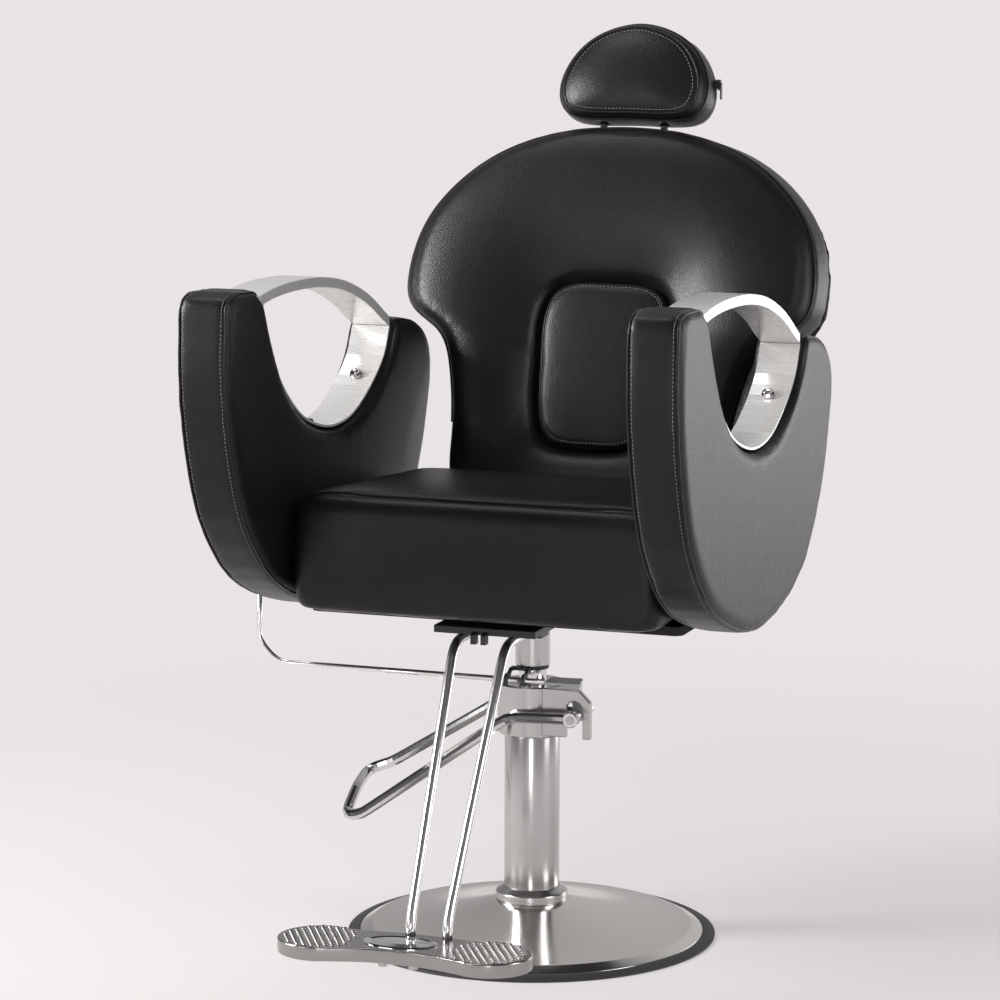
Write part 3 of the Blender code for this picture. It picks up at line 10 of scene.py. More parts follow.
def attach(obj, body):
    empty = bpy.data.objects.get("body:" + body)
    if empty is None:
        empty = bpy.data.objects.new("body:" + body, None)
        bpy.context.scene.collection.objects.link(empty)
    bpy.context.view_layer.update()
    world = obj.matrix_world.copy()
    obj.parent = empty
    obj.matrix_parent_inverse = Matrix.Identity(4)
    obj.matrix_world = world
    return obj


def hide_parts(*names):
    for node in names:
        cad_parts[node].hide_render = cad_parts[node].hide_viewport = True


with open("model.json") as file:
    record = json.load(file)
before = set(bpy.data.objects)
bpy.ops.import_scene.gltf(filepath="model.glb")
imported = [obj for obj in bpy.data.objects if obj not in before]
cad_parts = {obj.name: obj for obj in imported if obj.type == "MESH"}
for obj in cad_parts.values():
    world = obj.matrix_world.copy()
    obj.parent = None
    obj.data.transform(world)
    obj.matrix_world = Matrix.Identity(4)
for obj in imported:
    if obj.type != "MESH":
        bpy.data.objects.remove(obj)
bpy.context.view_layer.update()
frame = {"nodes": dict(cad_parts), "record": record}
NODES = frame["nodes"]
scene = bpy.context.scene

# ---- camera -----------------------------------------------------------------------------
AZIMUTH, PITCH, ROLL = math.radians(19.46), math.radians(9.14), math.radians(0.20)
CAMERA_PLACE = Vector((1.642, -4.782, 1.409))
FOCAL_PIXELS = 3822.0
IMAGE_WIDTH = 1000.0
SENSOR_WIDTH = 36.0


def place_camera():
    """The photograph's camera: turned by AZIMUTH, tipped down by PITCH, then rolled."""
    forward = Vector((-math.sin(AZIMUTH) * math.cos(PITCH),
                      math.cos(AZIMUTH) * math.cos(PITCH), -math.sin(PITCH)))
    across = Vector((math.cos(AZIMUTH), math.sin(AZIMUTH), 0))
    up = across.cross(forward)
    right = math.cos(ROLL) * across + math.sin(ROLL) * up
    top = -math.sin(ROLL) * across + math.cos(ROLL) * up
    turn = Matrix((right, top, -forward)).transposed().to_4x4()
    camera = bpy.data.cameras.new("camera")
    camera.sensor_width = SENSOR_WIDTH
    camera.lens = FOCAL_PIXELS * SENSOR_WIDTH / IMAGE_WIDTH
    camera.clip_end = 200.0
    obj = bpy.data.objects.new("camera", camera)
    obj.matrix_world = Matrix.Translation(CAMERA_PLACE) @ turn
    scene.collection.objects.link(obj)
    scene.camera = obj


# ---- materials --------------------------------------------------------------------------
def fill_ramp(node, stops):
    """Sets a colour ramp's stops: (place, colour) pairs in rising order."""
    elements = node.color_ramp.elements
    while len(elements) < len(stops):
        elements.new(0.5)
    for element, (place, color) in zip(elements, stops):
        element.position = place
        element.color = (*color, 1.0)


class Shader:
    """Small helper round a node tree with one Principled shader, in object coordinates."""

    def __init__(self, name, color, metallic, roughness):
        self.material = bpy.data.materials.new(name)
        self.material.use_nodes = True
        self.tree = self.material.node_tree
        self.principled = self.tree.nodes["Principled BSDF"]
        self.set("Base Color", (*color, 1.0))
        self.set("Metallic", metallic)
        self.set("Roughness", roughness)
        self.material.diffuse_color = (*color, 1.0)
        self.coords = self.tree.nodes.new("ShaderNodeTexCoord").outputs["Object"]

    def set(self, socket, value):
        self.principled.inputs[socket].default_value = value

    def link(self, source, target):
        self.tree.links.new(source, target)

    def stretched(self, scale):
        node = self.tree.nodes.new("ShaderNodeMapping")
        node.inputs["Scale"].default_value = scale
        self.link(self.coords, node.inputs["Vector"])
        return node.outputs["Vector"]

    def noise(self, scale, detail=2.0, vector=None, roughness=0.5):
        node = self.tree.nodes.new("ShaderNodeTexNoise")
        node.inputs["Scale"].default_value = scale
        node.inputs["Detail"].default_value = detail
        node.inputs["Roughness"].default_value = roughness
        self.link(vector or self.coords, node.inputs["Vector"])
        return node.outputs["Fac"]

    def cells(self, scale):
        node = self.tree.nodes.new("ShaderNodeTexVoronoi")
        node.inputs["Scale"].default_value = scale
        self.link(self.coords, node.inputs["Vector"])
        return node.outputs["Distance"]

    def spread(self, source, low, high):
        """A value from 0 to 1 stretched to run from low to high."""
        node = self.tree.nodes.new("ShaderNodeMapRange")
        node.inputs["To Min"].default_value = low
        node.inputs["To Max"].default_value = high
        self.link(source, node.inputs["Value"])
        return node.outputs["Result"]

    def ramp(self, source, stops):
        node = self.tree.nodes.new("ShaderNodeValToRGB")
        fill_ramp(node, stops)
        self.link(source, node.inputs["Fac"])
        return node.outputs["Color"]

    def bump(self, layers):
        """Stacks bumps: (height source, strength, distance in metres)."""
        normal = None
        for height, strength, distance in layers:
            node = self.tree.nodes.new("ShaderNodeBump")
            node.inputs["Strength"].default_value = strength
            node.inputs["Distance"].default_value = distance
            self.link(height, node.inputs["Height"])
            if normal:
                self.link(normal, node.inputs["Normal"])
            normal = node.outputs["Normal"]
        self.link(normal, self.principled.inputs["Normal"])


def make_leather(name, color, roughness):
    """Leather: cloudy shade, uneven gloss, and three bumps: soft creases, pebbles, fine grain."""
    shader = Shader(name, color, 0.0, roughness)
    shader.set("Specular IOR Level", 0.26)
    shade = shader.ramp(shader.noise(9.0, 4.0), [(0.30, [c * 0.80 for c in color]),
                                                 (0.72, [c * 1.25 for c in color])])
    shader.link(shade, shader.principled.inputs["Base Color"])
    shader.link(shader.spread(shader.noise(240.0, 3.0), roughness - 0.05, roughness + 0.07),
                shader.principled.inputs["Roughness"])
    shader.bump([(shader.noise(26.0, 3.0), 0.12, 0.004),
                 (shader.cells(520.0), 0.34, 0.0006),
                 (shader.noise(1300.0, 2.0), 0.20, 0.0004)])
    return shader.material


def make_metal(name, color, roughness, grain=(1, 1, 1), strength=0.05, metallic=1.0):
    """Metal whose noise, squeezed along the axes by grain, makes the streaks of its finish."""
    shader = Shader(name, color, metallic, roughness)
    streaks = shader.noise(60.0, 4.0, shader.stretched(grain), 0.6)
    shader.link(shader.spread(streaks, roughness * 0.8, roughness * 1.25),
                shader.principled.inputs["Roughness"])
    shader.bump([(streaks, strength, 0.0004)])
    return shader.material


def make_plain(name, color, roughness, speck=300.0, strength=0.1):
    """Paint, rubber, thread, or the near-black painted shade under the seat: one colour with a
    fine speck.
    """
    shader = Shader(name, color, 0.0, roughness)
    source = shader.noise(speck, 3.0)
    shader.link(shader.spread(source, roughness - 0.04, roughness + 0.06),
                shader.principled.inputs["Roughness"])
    shader.bump([(source, strength, 0.0003)])
    return shader.material


def make_wood():
    """Plywood with its grain along the chair's width."""
    shader = Shader("plywood", (0.42, 0.30, 0.18), 0.0, 0.6)
    grain = shader.noise(14.0, 6.0, shader.stretched((2.0, 14.0, 30.0)))
    color = shader.ramp(grain, [(0.3, (0.34, 0.22, 0.12)), (0.7, (0.52, 0.38, 0.23))])
    shader.link(color, shader.principled.inputs["Base Color"])
    shader.bump([(grain, 0.2, 0.0005)])
    return shader.material


LEATHER = make_leather("leather_black", (0.0066, 0.0056, 0.0054), 0.36)
PIPING = make_leather("leather_piping", (0.0080, 0.0069, 0.0067), 0.32)
THREAD = make_plain("thread_grey", (0.14, 0.13, 0.13), 0.7)
BRUSHED = make_metal("steel_brushed", (0.68, 0.67, 0.66), 0.27, (1, 40, 40), 0.05, 0.6)
SATIN = make_metal("steel_satin", (0.52, 0.51, 0.505), 0.22, (40, 40, 1.5), 0.04)
DOME = make_metal("steel_dome", (0.76, 0.745, 0.73), 0.17, (6, 6, 6), 0.02)
CHROME = make_metal("chrome_polished", (0.72, 0.71, 0.71), 0.09, (3, 3, 3), 0.01)
CAST = make_metal("cast_iron", (0.36, 0.36, 0.37), 0.42, (9, 9, 9), 0.25)
BLACK_STEEL = make_plain("black_powder_coat", (0.014, 0.013, 0.013), 0.42, 900.0, 0.25)
STEEL_PLATE = make_metal("steel_plate", (0.36, 0.35, 0.345), 0.20, (8, 8, 8), 0.03)
BRIGHT = make_metal("steel_bright", (0.88, 0.87, 0.865), 0.22, (30, 30, 30), 0.01)
ZIP_METAL = make_metal("zip_metal", (0.10, 0.10, 0.105), 0.35, (8, 8, 8), 0.03)
RUBBER = make_plain("rubber_black", (0.018, 0.017, 0.017), 0.55, 500.0, 0.15)
WOOD = make_wood()
# Painted shade: near black and rough, given to the seat's board in place of plywood, standing in
# for the shade under the seat.
UNDERSIDE_SHADE = make_plain("seat_board_painted_shade", (0.016, 0.015, 0.015), 0.85, 1500.0, 0.4)

SLOT_FINISH = {"leather": LEATHER, "brushed_steel": SATIN, "chrome": CHROME, "cast_metal": CAST,
               "black_steel": BLACK_STEEL, "black_plastic": RUBBER, "rubber": RUBBER,
               "plywood": WOOD}


def dress_nodes():
    """Gives every CAD node the finish of its slot, through its object's material slots."""
    slots = {row["node"]: row["material_slot"] for row in frame["record"]["subparts"]}
    # The seat's board takes the near-black painted shade instead of its plywood.
    special = {"arm_arch_left": BRUSHED, "arm_arch_right": BRUSHED, "arm_liner_left": BRUSHED,
               "arm_liner_right": BRUSHED, "base_cover": DOME, "release_flag": CAST,
               "seat_board": UNDERSIDE_SHADE, "zip_slider": BLACK_STEEL, "zip_pull": BLACK_STEEL}
    for name, obj in NODES.items():
        finish = special.get(name) or SLOT_FINISH[slots[name]]
        for slot in obj.material_slots:
            slot.link = "OBJECT"
            slot.material = finish


# ---- surfaces ---------------------------------------------------------------------------
def points_of(mesh):
    values = np.empty(len(mesh.vertices) * 3)
    mesh.vertices.foreach_get("co", values)
    return values.reshape(-1, 3)


def normals_of(mesh):
    values = np.empty(len(mesh.vertices) * 3)
    mesh.vertices.foreach_get("normal", values)
    return values.reshape(-1, 3)


def put_points(mesh, values):
    mesh.vertices.foreach_set("co", np.ascontiguousarray(values, dtype=np.float32).ravel())
    mesh.update()


def eased(mesh, field, passes):
    """Averages a field of vectors with each point's neighbours, again and again."""
    pairs = np.empty(len(mesh.edges) * 2, dtype=np.int32)
    mesh.edges.foreach_get("vertices", pairs)
    a, b = pairs.reshape(-1, 2).T
    count = np.bincount(pairs, minlength=len(field))[:, None]
    for _ in range(passes):
        total = np.stack([np.bincount(a, field[b, k], len(field))
                          + np.bincount(b, field[a, k], len(field)) for k in range(3)], 1)
        field = 0.5 * field + 0.5 * total / count
    return field


def settle(obj):
    """Makes what the modifiers give the object's own mesh, and clears the modifiers."""
    graph = bpy.context.evaluated_depsgraph_get()
    mesh = bpy.data.meshes.new_from_object(obj.evaluated_get(graph), depsgraph=graph)
    obj.modifiers.clear()
    obj.data = mesh


def surface(name, points, faces, finish, body, slot, nodes=()):
    """A new piece at the origin from arrays of points and faces, on its body."""
    mesh = bpy.data.meshes.new(name)
    mesh.from_pydata(np.asarray(points, dtype=float).tolist(), [],
                     faces if isinstance(faces, list) else faces.tolist())
    mesh.polygons.foreach_set("use_smooth", np.ones(len(mesh.polygons), dtype=bool))
    mesh.materials.append(finish)
    mesh.update()
    obj = bpy.data.objects.new(name, mesh)
    scene.collection.objects.link(obj)
    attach(obj, body)
    if nodes:
        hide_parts(*nodes)
    return obj


BROAD_VOXEL, BOARD_VOXEL, FINE_VOXEL = 0.0065, 0.0066, 0.004
CLOTH_FRAMES = 20
BROAD_PASSES = 60
WRINKLE_SHARE = 0.12
INWARD_SHARE = 0.3


def puff(obj, cap):
    """Cloth under pressure moves the skin. Its broad movement and a share of its wrinkles stay,
    outwards and sideways up to cap, inwards up to a share of it."""
    start = points_of(obj.data)
    cloth = obj.modifiers.new("cloth", "CLOTH")
    rules = cloth.settings
    rules.quality = 4
    rules.mass = 0.3
    rules.tension_stiffness = 12.0
    rules.compression_stiffness = 12.0
    rules.bending_stiffness = 0.6
    rules.use_pressure = True
    rules.uniform_pressure_force = 4.0
    rules.effector_weights.gravity = 0.0
    cloth.point_cache.frame_start = 1
    cloth.point_cache.frame_end = CLOTH_FRAMES
    for tick in range(1, CLOTH_FRAMES + 1):
        scene.frame_set(tick)
    settle(obj)
    moved = points_of(obj.data) - start
    put_points(obj.data, start)
    normal = normals_of(obj.data)
    broad = eased(obj.data, moved, BROAD_PASSES)
    moved = broad + WRINKLE_SHARE * (moved - broad)
    out = np.sum(moved * normal, axis=1, keepdims=True)
    slide = moved - out * normal
    length = np.linalg.norm(slide, axis=1, keepdims=True)
    slide *= np.minimum(1.0, cap / np.maximum(length, 1e-9))
    put_points(obj.data, start + slide + normal * np.clip(out, -INWARD_SHARE * cap, cap))
    scene.frame_set(1)


def stuffed(name, body, voxel, inset=0.0018, cap=0.0017, pre=1, rounds=4):
    """A fine copy of a soft CAD solid: rounded, remeshed, let in by inset, puffed, smoothed."""
    mesh = NODES[name].data.copy()
    work = bmesh.new()
    work.from_mesh(mesh)
    bmesh.ops.remove_doubles(work, verts=work.verts, dist=1e-6)
    if pre:
        bmesh.ops.join_triangles(work, faces=work.faces, angle_face_threshold=0.7,
                                 angle_shape_threshold=1.4)
    work.to_mesh(mesh)
    work.free()
    mesh.materials.clear()
    obj = bpy.data.objects.new(name + "_soft", mesh)
    scene.collection.objects.link(obj)
    if pre:
        obj.modifiers.new("round", "SUBSURF").levels = pre
    fine = obj.modifiers.new("fine", "REMESH")
    fine.mode = "VOXEL"
    fine.voxel_size = voxel
    even = obj.modifiers.new("even", "SMOOTH")
    even.factor = 0.5
    even.iterations = rounds
    slim = obj.modifiers.new("slim", "DISPLACE")
    slim.mid_level = 0.0
    slim.strength = -inset
    settle(obj)
    puff(obj, cap)
    calm = obj.modifiers.new("calm", "SMOOTH")
    calm.factor = 0.5
    calm.iterations = 3
    obj.modifiers.new("finer", "SUBSURF").levels = 1
    settle(obj)
    obj.name = name + "_soft"
    obj.data.polygons.foreach_set("use_smooth", np.ones(len(obj.data.polygons), dtype=bool))
    obj.data.materials.append(LEATHER)
    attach(obj, body)
    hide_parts(name)
    return obj


def press(obj, amount):
    """Moves each point of a piece along its normal by amount(points, normals), in metres."""
    points, normals = points_of(obj.data), normals_of(obj.data)
    put_points(obj.data, points + normals * amount(points, normals)[:, None])


def valley(distance, width, depth):
    """A groove's height at a distance from its line: minus depth times e^-(distance/width)^2."""
    return -depth * np.exp(-(distance / width) ** 2)


def smoothed(values, passes, closed):
    """Each pass makes a row's value a quarter of both neighbours plus half of its own."""
    values = np.asarray(values, dtype=float)
    for _ in range(passes):
        if closed:
            values = (np.roll(values, 1, 0) + 2 * values + np.roll(values, -1, 0)) / 4
        else:
            inner = (values[:-2] + 2 * values[1:-1] + values[2:]) / 4
            values = np.vstack([values[:1], inner, values[-1:]])
    return values


def evenly(path, step, closed=False):
    """The same path with points an even step apart."""
    path = np.asarray(path, dtype=float)
    if closed:
        path = np.vstack([path, path[:1]])
    run = np.concatenate([[0], np.cumsum(np.linalg.norm(np.diff(path, axis=0), axis=1))])
    count = max(3, int(round(run[-1] / step)))
    places = np.linspace(0, run[-1], count + 1)
    if closed:
        places = places[:-1]
    return np.stack([np.interp(places, run, path[:, k]) for k in range(path.shape[1])], 1)


def path_frames(path, closed):
    """Unit direction and two crosswise unit vectors that turn as little as they can."""
    if closed:
        along = np.roll(path, -1, 0) - np.roll(path, 1, 0)
    else:
        along = np.gradient(path, axis=0)
    along /= np.linalg.norm(along, axis=1, keepdims=True)
    side = np.empty_like(path)
    first = np.cross(along[0], (0.0, 0.0, 1.0))
    if np.linalg.norm(first) < 0.1:
        first = np.cross(along[0], (0.0, 1.0, 0.0))
    side[0] = first / np.linalg.norm(first)
    for k in range(1, len(path)):
        step = side[k - 1] - along[k] * np.dot(side[k - 1], along[k])
        side[k] = step / np.linalg.norm(step)
    return along, side, np.cross(along, side)


def grid_faces(rings, sides, closed=False):
    """Quads between each ring of points and the next; a closed row of rings joins its ends."""
    rows = np.arange(rings if closed else rings - 1)[:, None]
    row, after = rows * sides, (rows + 1) % rings * sides
    here = np.arange(sides)[None, :]
    there = (here + 1) % sides
    faces = np.stack([row + here, row + there, after + there, after + here], -1)
    return faces.reshape(-1, 4).tolist()


def tube_arrays(path, radius, sides, closed=False):
    """Round bar: each ring is centre + r (cos a * side + sin a * up); flat ends are closed."""
    path = np.asarray(path, dtype=float)
    _, side, up = path_frames(path, closed)
    angle = np.linspace(0, 2 * math.pi, sides, endpoint=False)
    ring = (np.cos(angle)[None, :, None] * side[:, None, :]
            + np.sin(angle)[None, :, None] * up[:, None, :])
    points = (path[:, None, :] + radius * ring).reshape(-1, 3)
    faces = grid_faces(len(path), sides, closed)
    if not closed:
        last = (len(path) - 1) * sides
        faces.append(list(range(sides - 1, -1, -1)))
        faces.append([last + k for k in range(sides)])
    return points, faces


def joined(parts):
    """Several (points, faces) pairs as one pair."""
    points, faces, start = [], [], 0
    for some, shapes in parts:
        points.append(np.asarray(some, dtype=float))
        faces += [[start + k for k in face] for face in shapes]
        start += len(some)
    return np.vstack(points), faces


# ---- lights, floor, background ----------------------------------------------------------
# The background's colour, the flat direction to the camera, and how bright the mirrored room is
# from behind the chair (0) to the camera's side (1).
PALE = (0.812, 0.778, 0.776)
TOWARDS_CAMERA = (0.333, -0.943)
AMBIENT_STRENGTH = 0.60
ROOM_STOPS = ((0.0, 0.80), (0.16, 0.66), (0.34, 0.05), (0.55, 0.03), (0.78, 0.20), (1.0, 0.34))


def area_light(name, place, target, size, power):
    """A rectangle of white light aimed from its place at a target, unseen by the camera."""
    light = bpy.data.lights.new(name, "AREA")
    light.shape = "RECTANGLE"
    light.size, light.size_y = size
    light.energy = power
    obj = bpy.data.objects.new(name, light)
    obj.location = place
    aim = Vector(target) - Vector(place)
    obj.rotation_euler = aim.to_track_quat("-Z", "Y").to_euler()
    scene.collection.objects.link(obj)
    obj.visible_camera = False


def make_world():
    """The camera sees plain PALE. Glossy rays see a room that runs with the direction from pale
    behind the chair, by dark sides, to a modest front, dimmer on the left. All other rays see
    an even light."""
    world = bpy.data.worlds.new("studio")
    world.use_nodes = True
    tree = world.node_tree
    new, link = tree.nodes.new, tree.links.new
    ambient = tree.nodes["Background"]
    ambient.inputs["Color"].default_value = (1.0, 0.985, 0.98, 1.0)
    ambient.inputs["Strength"].default_value = AMBIENT_STRENGTH
    path = new("ShaderNodeLightPath")
    pale = new("ShaderNodeBackground")
    pale.inputs["Color"].default_value = (*PALE, 1.0)
    pale.inputs["Strength"].default_value = 1.0
    mirror = new("ShaderNodeBackground")
    split = new("ShaderNodeSeparateXYZ")
    link(new("ShaderNodeTexCoord").outputs["Generated"], split.inputs[0])
    level = [new("ShaderNodeMath") for _ in range(3)]
    for node, kind, factor in zip(level, ("MULTIPLY", "MULTIPLY_ADD", "MULTIPLY_ADD"),
                                  (TOWARDS_CAMERA[1], TOWARDS_CAMERA[0], 0.5)):
        node.operation = kind
        node.inputs[1].default_value = factor
    link(split.outputs["Y"], level[0].inputs[0])
    link(split.outputs["X"], level[1].inputs[0])
    link(level[0].outputs[0], level[1].inputs[2])
    link(level[1].outputs[0], level[2].inputs[0])
    level[2].inputs[2].default_value = 0.5
    ramp = new("ShaderNodeValToRGB")
    fill_ramp(ramp, [(place, (value, value * 0.98, value * 0.97))
                     for place, value in ROOM_STOPS])
    link(level[2].outputs[0], ramp.inputs["Fac"])
    link(ramp.outputs["Color"], mirror.inputs["Color"])
    sideways = new("ShaderNodeMapRange")
    sideways.inputs["From Min"].default_value = -0.7
    sideways.inputs["From Max"].default_value = 0.5
    sideways.inputs["To Min"].default_value = 0.35
    link(split.outputs["X"], sideways.inputs["Value"])
    link(sideways.outputs["Result"], mirror.inputs["Strength"])
    gloss = new("ShaderNodeMixShader")
    link(path.outputs["Is Glossy Ray"], gloss.inputs["Fac"])
    link(ambient.outputs[0], gloss.inputs[1])
    link(mirror.outputs[0], gloss.inputs[2])
    seen = new("ShaderNodeMath")
    seen.operation = "MAXIMUM"
    link(path.outputs["Is Camera Ray"], seen.inputs[0])
    link(path.outputs["Is Transmission Ray"], seen.inputs[1])
    mix = new("ShaderNodeMixShader")
    link(seen.outputs[0], mix.inputs["Fac"])
    link(gloss.outputs[0], mix.inputs[1])
    link(pale.outputs[0], mix.inputs[2])
    link(mix.outputs[0], tree.nodes["World Output"].inputs["Surface"])
    scene.world = world


FLOOR_RADII = (0.4, 1.0, 3.0, 10.0, 40.0)
FLOOR_DROP = 0.0004
SHADE_NEAR, SHADE_FAR, NEAR_GLOW = 0.35, 2.2, 0.45


def make_floor():
    """Plain pale floor: a flat round sheet whose height stays zero, rings out to 40 m. Seen
    directly it glows PALE far from the chair and shows more of its shadow near it."""
    turns = np.linspace(0, 2 * math.pi, 48, endpoint=False)
    verts = [(0.0, 0.0, 0.0)]
    for radius in FLOOR_RADII:
        verts += [(radius * math.cos(t), radius * math.sin(t), 0.0) for t in turns]
    count = len(turns)
    faces = [(0, 1 + k, 1 + (k + 1) % count) for k in range(count)]
    for ring in range(len(FLOOR_RADII) - 1):
        low, high = 1 + ring * count, 1 + (ring + 1) * count
        faces += [(low + k, high + k, high + (k + 1) % count, low + (k + 1) % count)
                  for k in range(count)]
    mesh = bpy.data.meshes.new("floor")
    mesh.from_pydata(verts, [], faces)
    floor = bpy.data.objects.new("floor", mesh)
    floor.location.z = -FLOOR_DROP
    scene.collection.objects.link(floor)
    shader = Shader("floor_pale", (0.50, 0.485, 0.48), 0.0, 0.8)
    shader.set("Specular IOR Level", 0.1)
    tree = shader.tree
    glow = tree.nodes.new("ShaderNodeEmission")
    glow.inputs["Color"].default_value = (*PALE, 1.0)
    glow.inputs["Strength"].default_value = 1.0
    length = tree.nodes.new("ShaderNodeVectorMath")
    length.operation = "LENGTH"
    shader.link(shader.coords, length.inputs[0])
    far = tree.nodes.new("ShaderNodeMapRange")
    far.interpolation_type = "SMOOTHSTEP"
    far.inputs["From Min"].default_value = SHADE_NEAR
    far.inputs["From Max"].default_value = SHADE_FAR
    far.inputs["To Min"].default_value = NEAR_GLOW
    shader.link(length.outputs["Value"], far.inputs["Value"])
    path = tree.nodes.new("ShaderNodeLightPath")
    seen = tree.nodes.new("ShaderNodeMath")
    seen.operation = "MAXIMUM"
    shader.link(path.outputs["Is Camera Ray"], seen.inputs[0])
    shader.link(path.outputs["Is Glossy Ray"], seen.inputs[1])
    share = tree.nodes.new("ShaderNodeMath")
    share.operation = "MULTIPLY"
    shader.link(seen.outputs[0], share.inputs[0])
    shader.link(far.outputs["Result"], share.inputs[1])
    mix = tree.nodes.new("ShaderNodeMixShader")
    shader.link(share.outputs[0], mix.inputs["Fac"])
    shader.link(shader.principled.outputs[0], mix.inputs[1])
    shader.link(glow.outputs[0], mix.inputs[2])
    shader.link(mix.outputs[0], tree.nodes["Material Output"].inputs["Surface"])
    mesh.materials.append(shader.material)


def place_lights():
    """Six area lights: name, place, what it aims at, size in metres, watts."""
    area_light("key_left", (-2.7, -1.2, 1.8), (0, 0, 0.85), (0.7, 1.5), 190)
    area_light("fill_left", (-1.8, -3.2, 1.3), (0, 0, 0.7), (1.0, 1.0), 14)
    area_light("side_right", (3.2, -0.4, 1.6), (0.2, 0, 0.75), (1.2, 2.2), 60)
    area_light("rim_right", (2.3, 3.3, 0.6), (0.1, 0, 0.6), (1.8, 1.1), 24)
    area_light("front", (0.9, -3.6, 0.4), (0.0, 0, 0.4), (0.5, 1.2), 14)
    area_light("top", (-0.8, 0.1, 3.1), (0, 0, 0.7), (0.9, 0.9), 13)


# ---- seams, piping and stitches ---------------------------------------------------------
WELT_STEP = 0.004
STITCH_SIDES = 6


def catmull(corners, steps):
    """Catmull-Rom curve through an open row of points."""
    row = np.asarray(corners, dtype=float)
    row = np.vstack([2 * row[0] - row[1], row, 2 * row[-1] - row[-2]])
    a, b, c, d = row[:-3], row[1:-2], row[2:-1], row[3:]
    t = (np.arange(steps) / steps)[None, :, None]
    a, b, c, d = (v[:, None, :] for v in (a, b, c, d))
    curve = 0.5 * (2 * b + (c - a) * t + (2 * a - 5 * b + 4 * c - d) * t ** 2
                   + (3 * b - a - 3 * c + d) * t ** 3)
    return np.vstack([curve.reshape(-1, row.shape[1]), row[-2]])


def arc_points(centre, radius, start, end, steps):
    """Points on a circle between two angles in degrees."""
    angle = np.radians(np.linspace(start, end, steps + 1))
    return np.stack([centre[0] + radius * np.cos(angle),
                     centre[1] + radius * np.sin(angle)], 1)


def laid_on(obj, path, lift, passes=3, closed=False):
    """The path moved to the nearest place on a soft piece, lifted, and its normals there."""
    bpy.context.view_layer.update()
    found = [obj.closest_point_on_mesh(Vector(point))[1:3] for point in path]
    places = np.array([place for place, _ in found])
    normals = smoothed(np.array([normal for _, normal in found]), 4, closed)
    normals /= np.linalg.norm(normals, axis=1, keepdims=True)
    return smoothed(places + normals * lift, passes, closed), normals


def welt_arrays(obj, path, radius, sink=0.35, closed=False):
    """Piping: a round cord along the path, let into the leather by a share of its width."""
    path = evenly(path, WELT_STEP, closed)
    places, _ = laid_on(obj, path, radius * (1 - 2 * sink), 3, closed)
    return tube_arrays(places, radius, 8, closed)


def stitch_arrays(obj, path, closed=False, pitch=0.0054, length=0.0036, radius=0.00055):
    """Separate stitches: each a spindle, radius r sqrt(1 - u^4) along its length u."""
    path = evenly(path, pitch, closed)
    places, normals = laid_on(obj, path, 0.0001, 1, closed)
    along, _, _ = path_frames(places, closed)
    across = np.cross(normals, along)
    across /= np.linalg.norm(across, axis=1, keepdims=True)
    u = np.array([-0.92, -0.4, 0.4, 0.92])
    girth = np.sqrt(1 - u ** 4) * radius
    angle = np.linspace(0, 2 * math.pi, STITCH_SIDES, endpoint=False)
    ring = (np.cos(angle)[None, :, None] * across[:, None, :]
            + np.sin(angle)[None, :, None] * normals[:, None, :])
    reach = (u * length / 2)[None, :, None, None]
    body = (places[:, None, None, :] + along[:, None, None, :] * reach
            + ring[:, None, :, :] * girth[None, :, None, None])
    tips = places[:, None, :] + along[:, None, :] * np.array([-0.5, 0.5])[None, :, None] * length
    points = np.concatenate([body.reshape(len(path), -1, 3), tips], 1)
    tip = len(u) * STITCH_SIDES
    last = tip - STITCH_SIDES
    pairs = [(k, (k + 1) % STITCH_SIDES) for k in range(STITCH_SIDES)]
    shape = grid_faces(len(u), STITCH_SIDES)
    shape += [[tip, b, a] for a, b in pairs] + [[tip + 1, last + a, last + b] for a, b in pairs]
    return joined([(stitch, shape) for stitch in points])


# The arm's leather band: its inner side, its width, its top, and the line of its edge as
# (y, z), down the rear of the arm, forwards under it and up its front to the top.
ARM_INNER, ARM_THICKNESS, ARM_TOP = 0.2575, 0.0755, 0.9035
ARM_GROOVE_INSET, ARM_GROOVE_WIDTH, ARM_GROOVE_DEPTH = 0.0072, 0.0030, 0.0016
ARM_PIPING_INSET, ARM_STITCH_INSET = 0.0040, 0.0100
PIPING_RADIUS = 0.0017
ARM_EDGE_LINE = np.vstack([
    catmull([(0.172, 0.8155), (0.217, 0.811), (0.250, 0.802), (0.293, 0.779), (0.314, 0.738),
             (0.299, 0.672), (0.263, 0.588), (0.177, 0.4935), (0.060, 0.4565),
             (-0.020, 0.4480), (-0.090, 0.4500), (-0.154, 0.4655), (-0.233, 0.4925),
             (-0.304, 0.534), (-0.374, 0.610), (-0.4135, 0.709), (-0.4280, 0.800),
             (-0.4260, 0.855)], 8),
    arc_points((-0.4255 + 0.026, ARM_TOP - 0.026), 0.026, 180, 90, 8)[1:],
    arc_points((-0.3385, ARM_TOP - 0.022), 0.022, 90, 40, 6)])


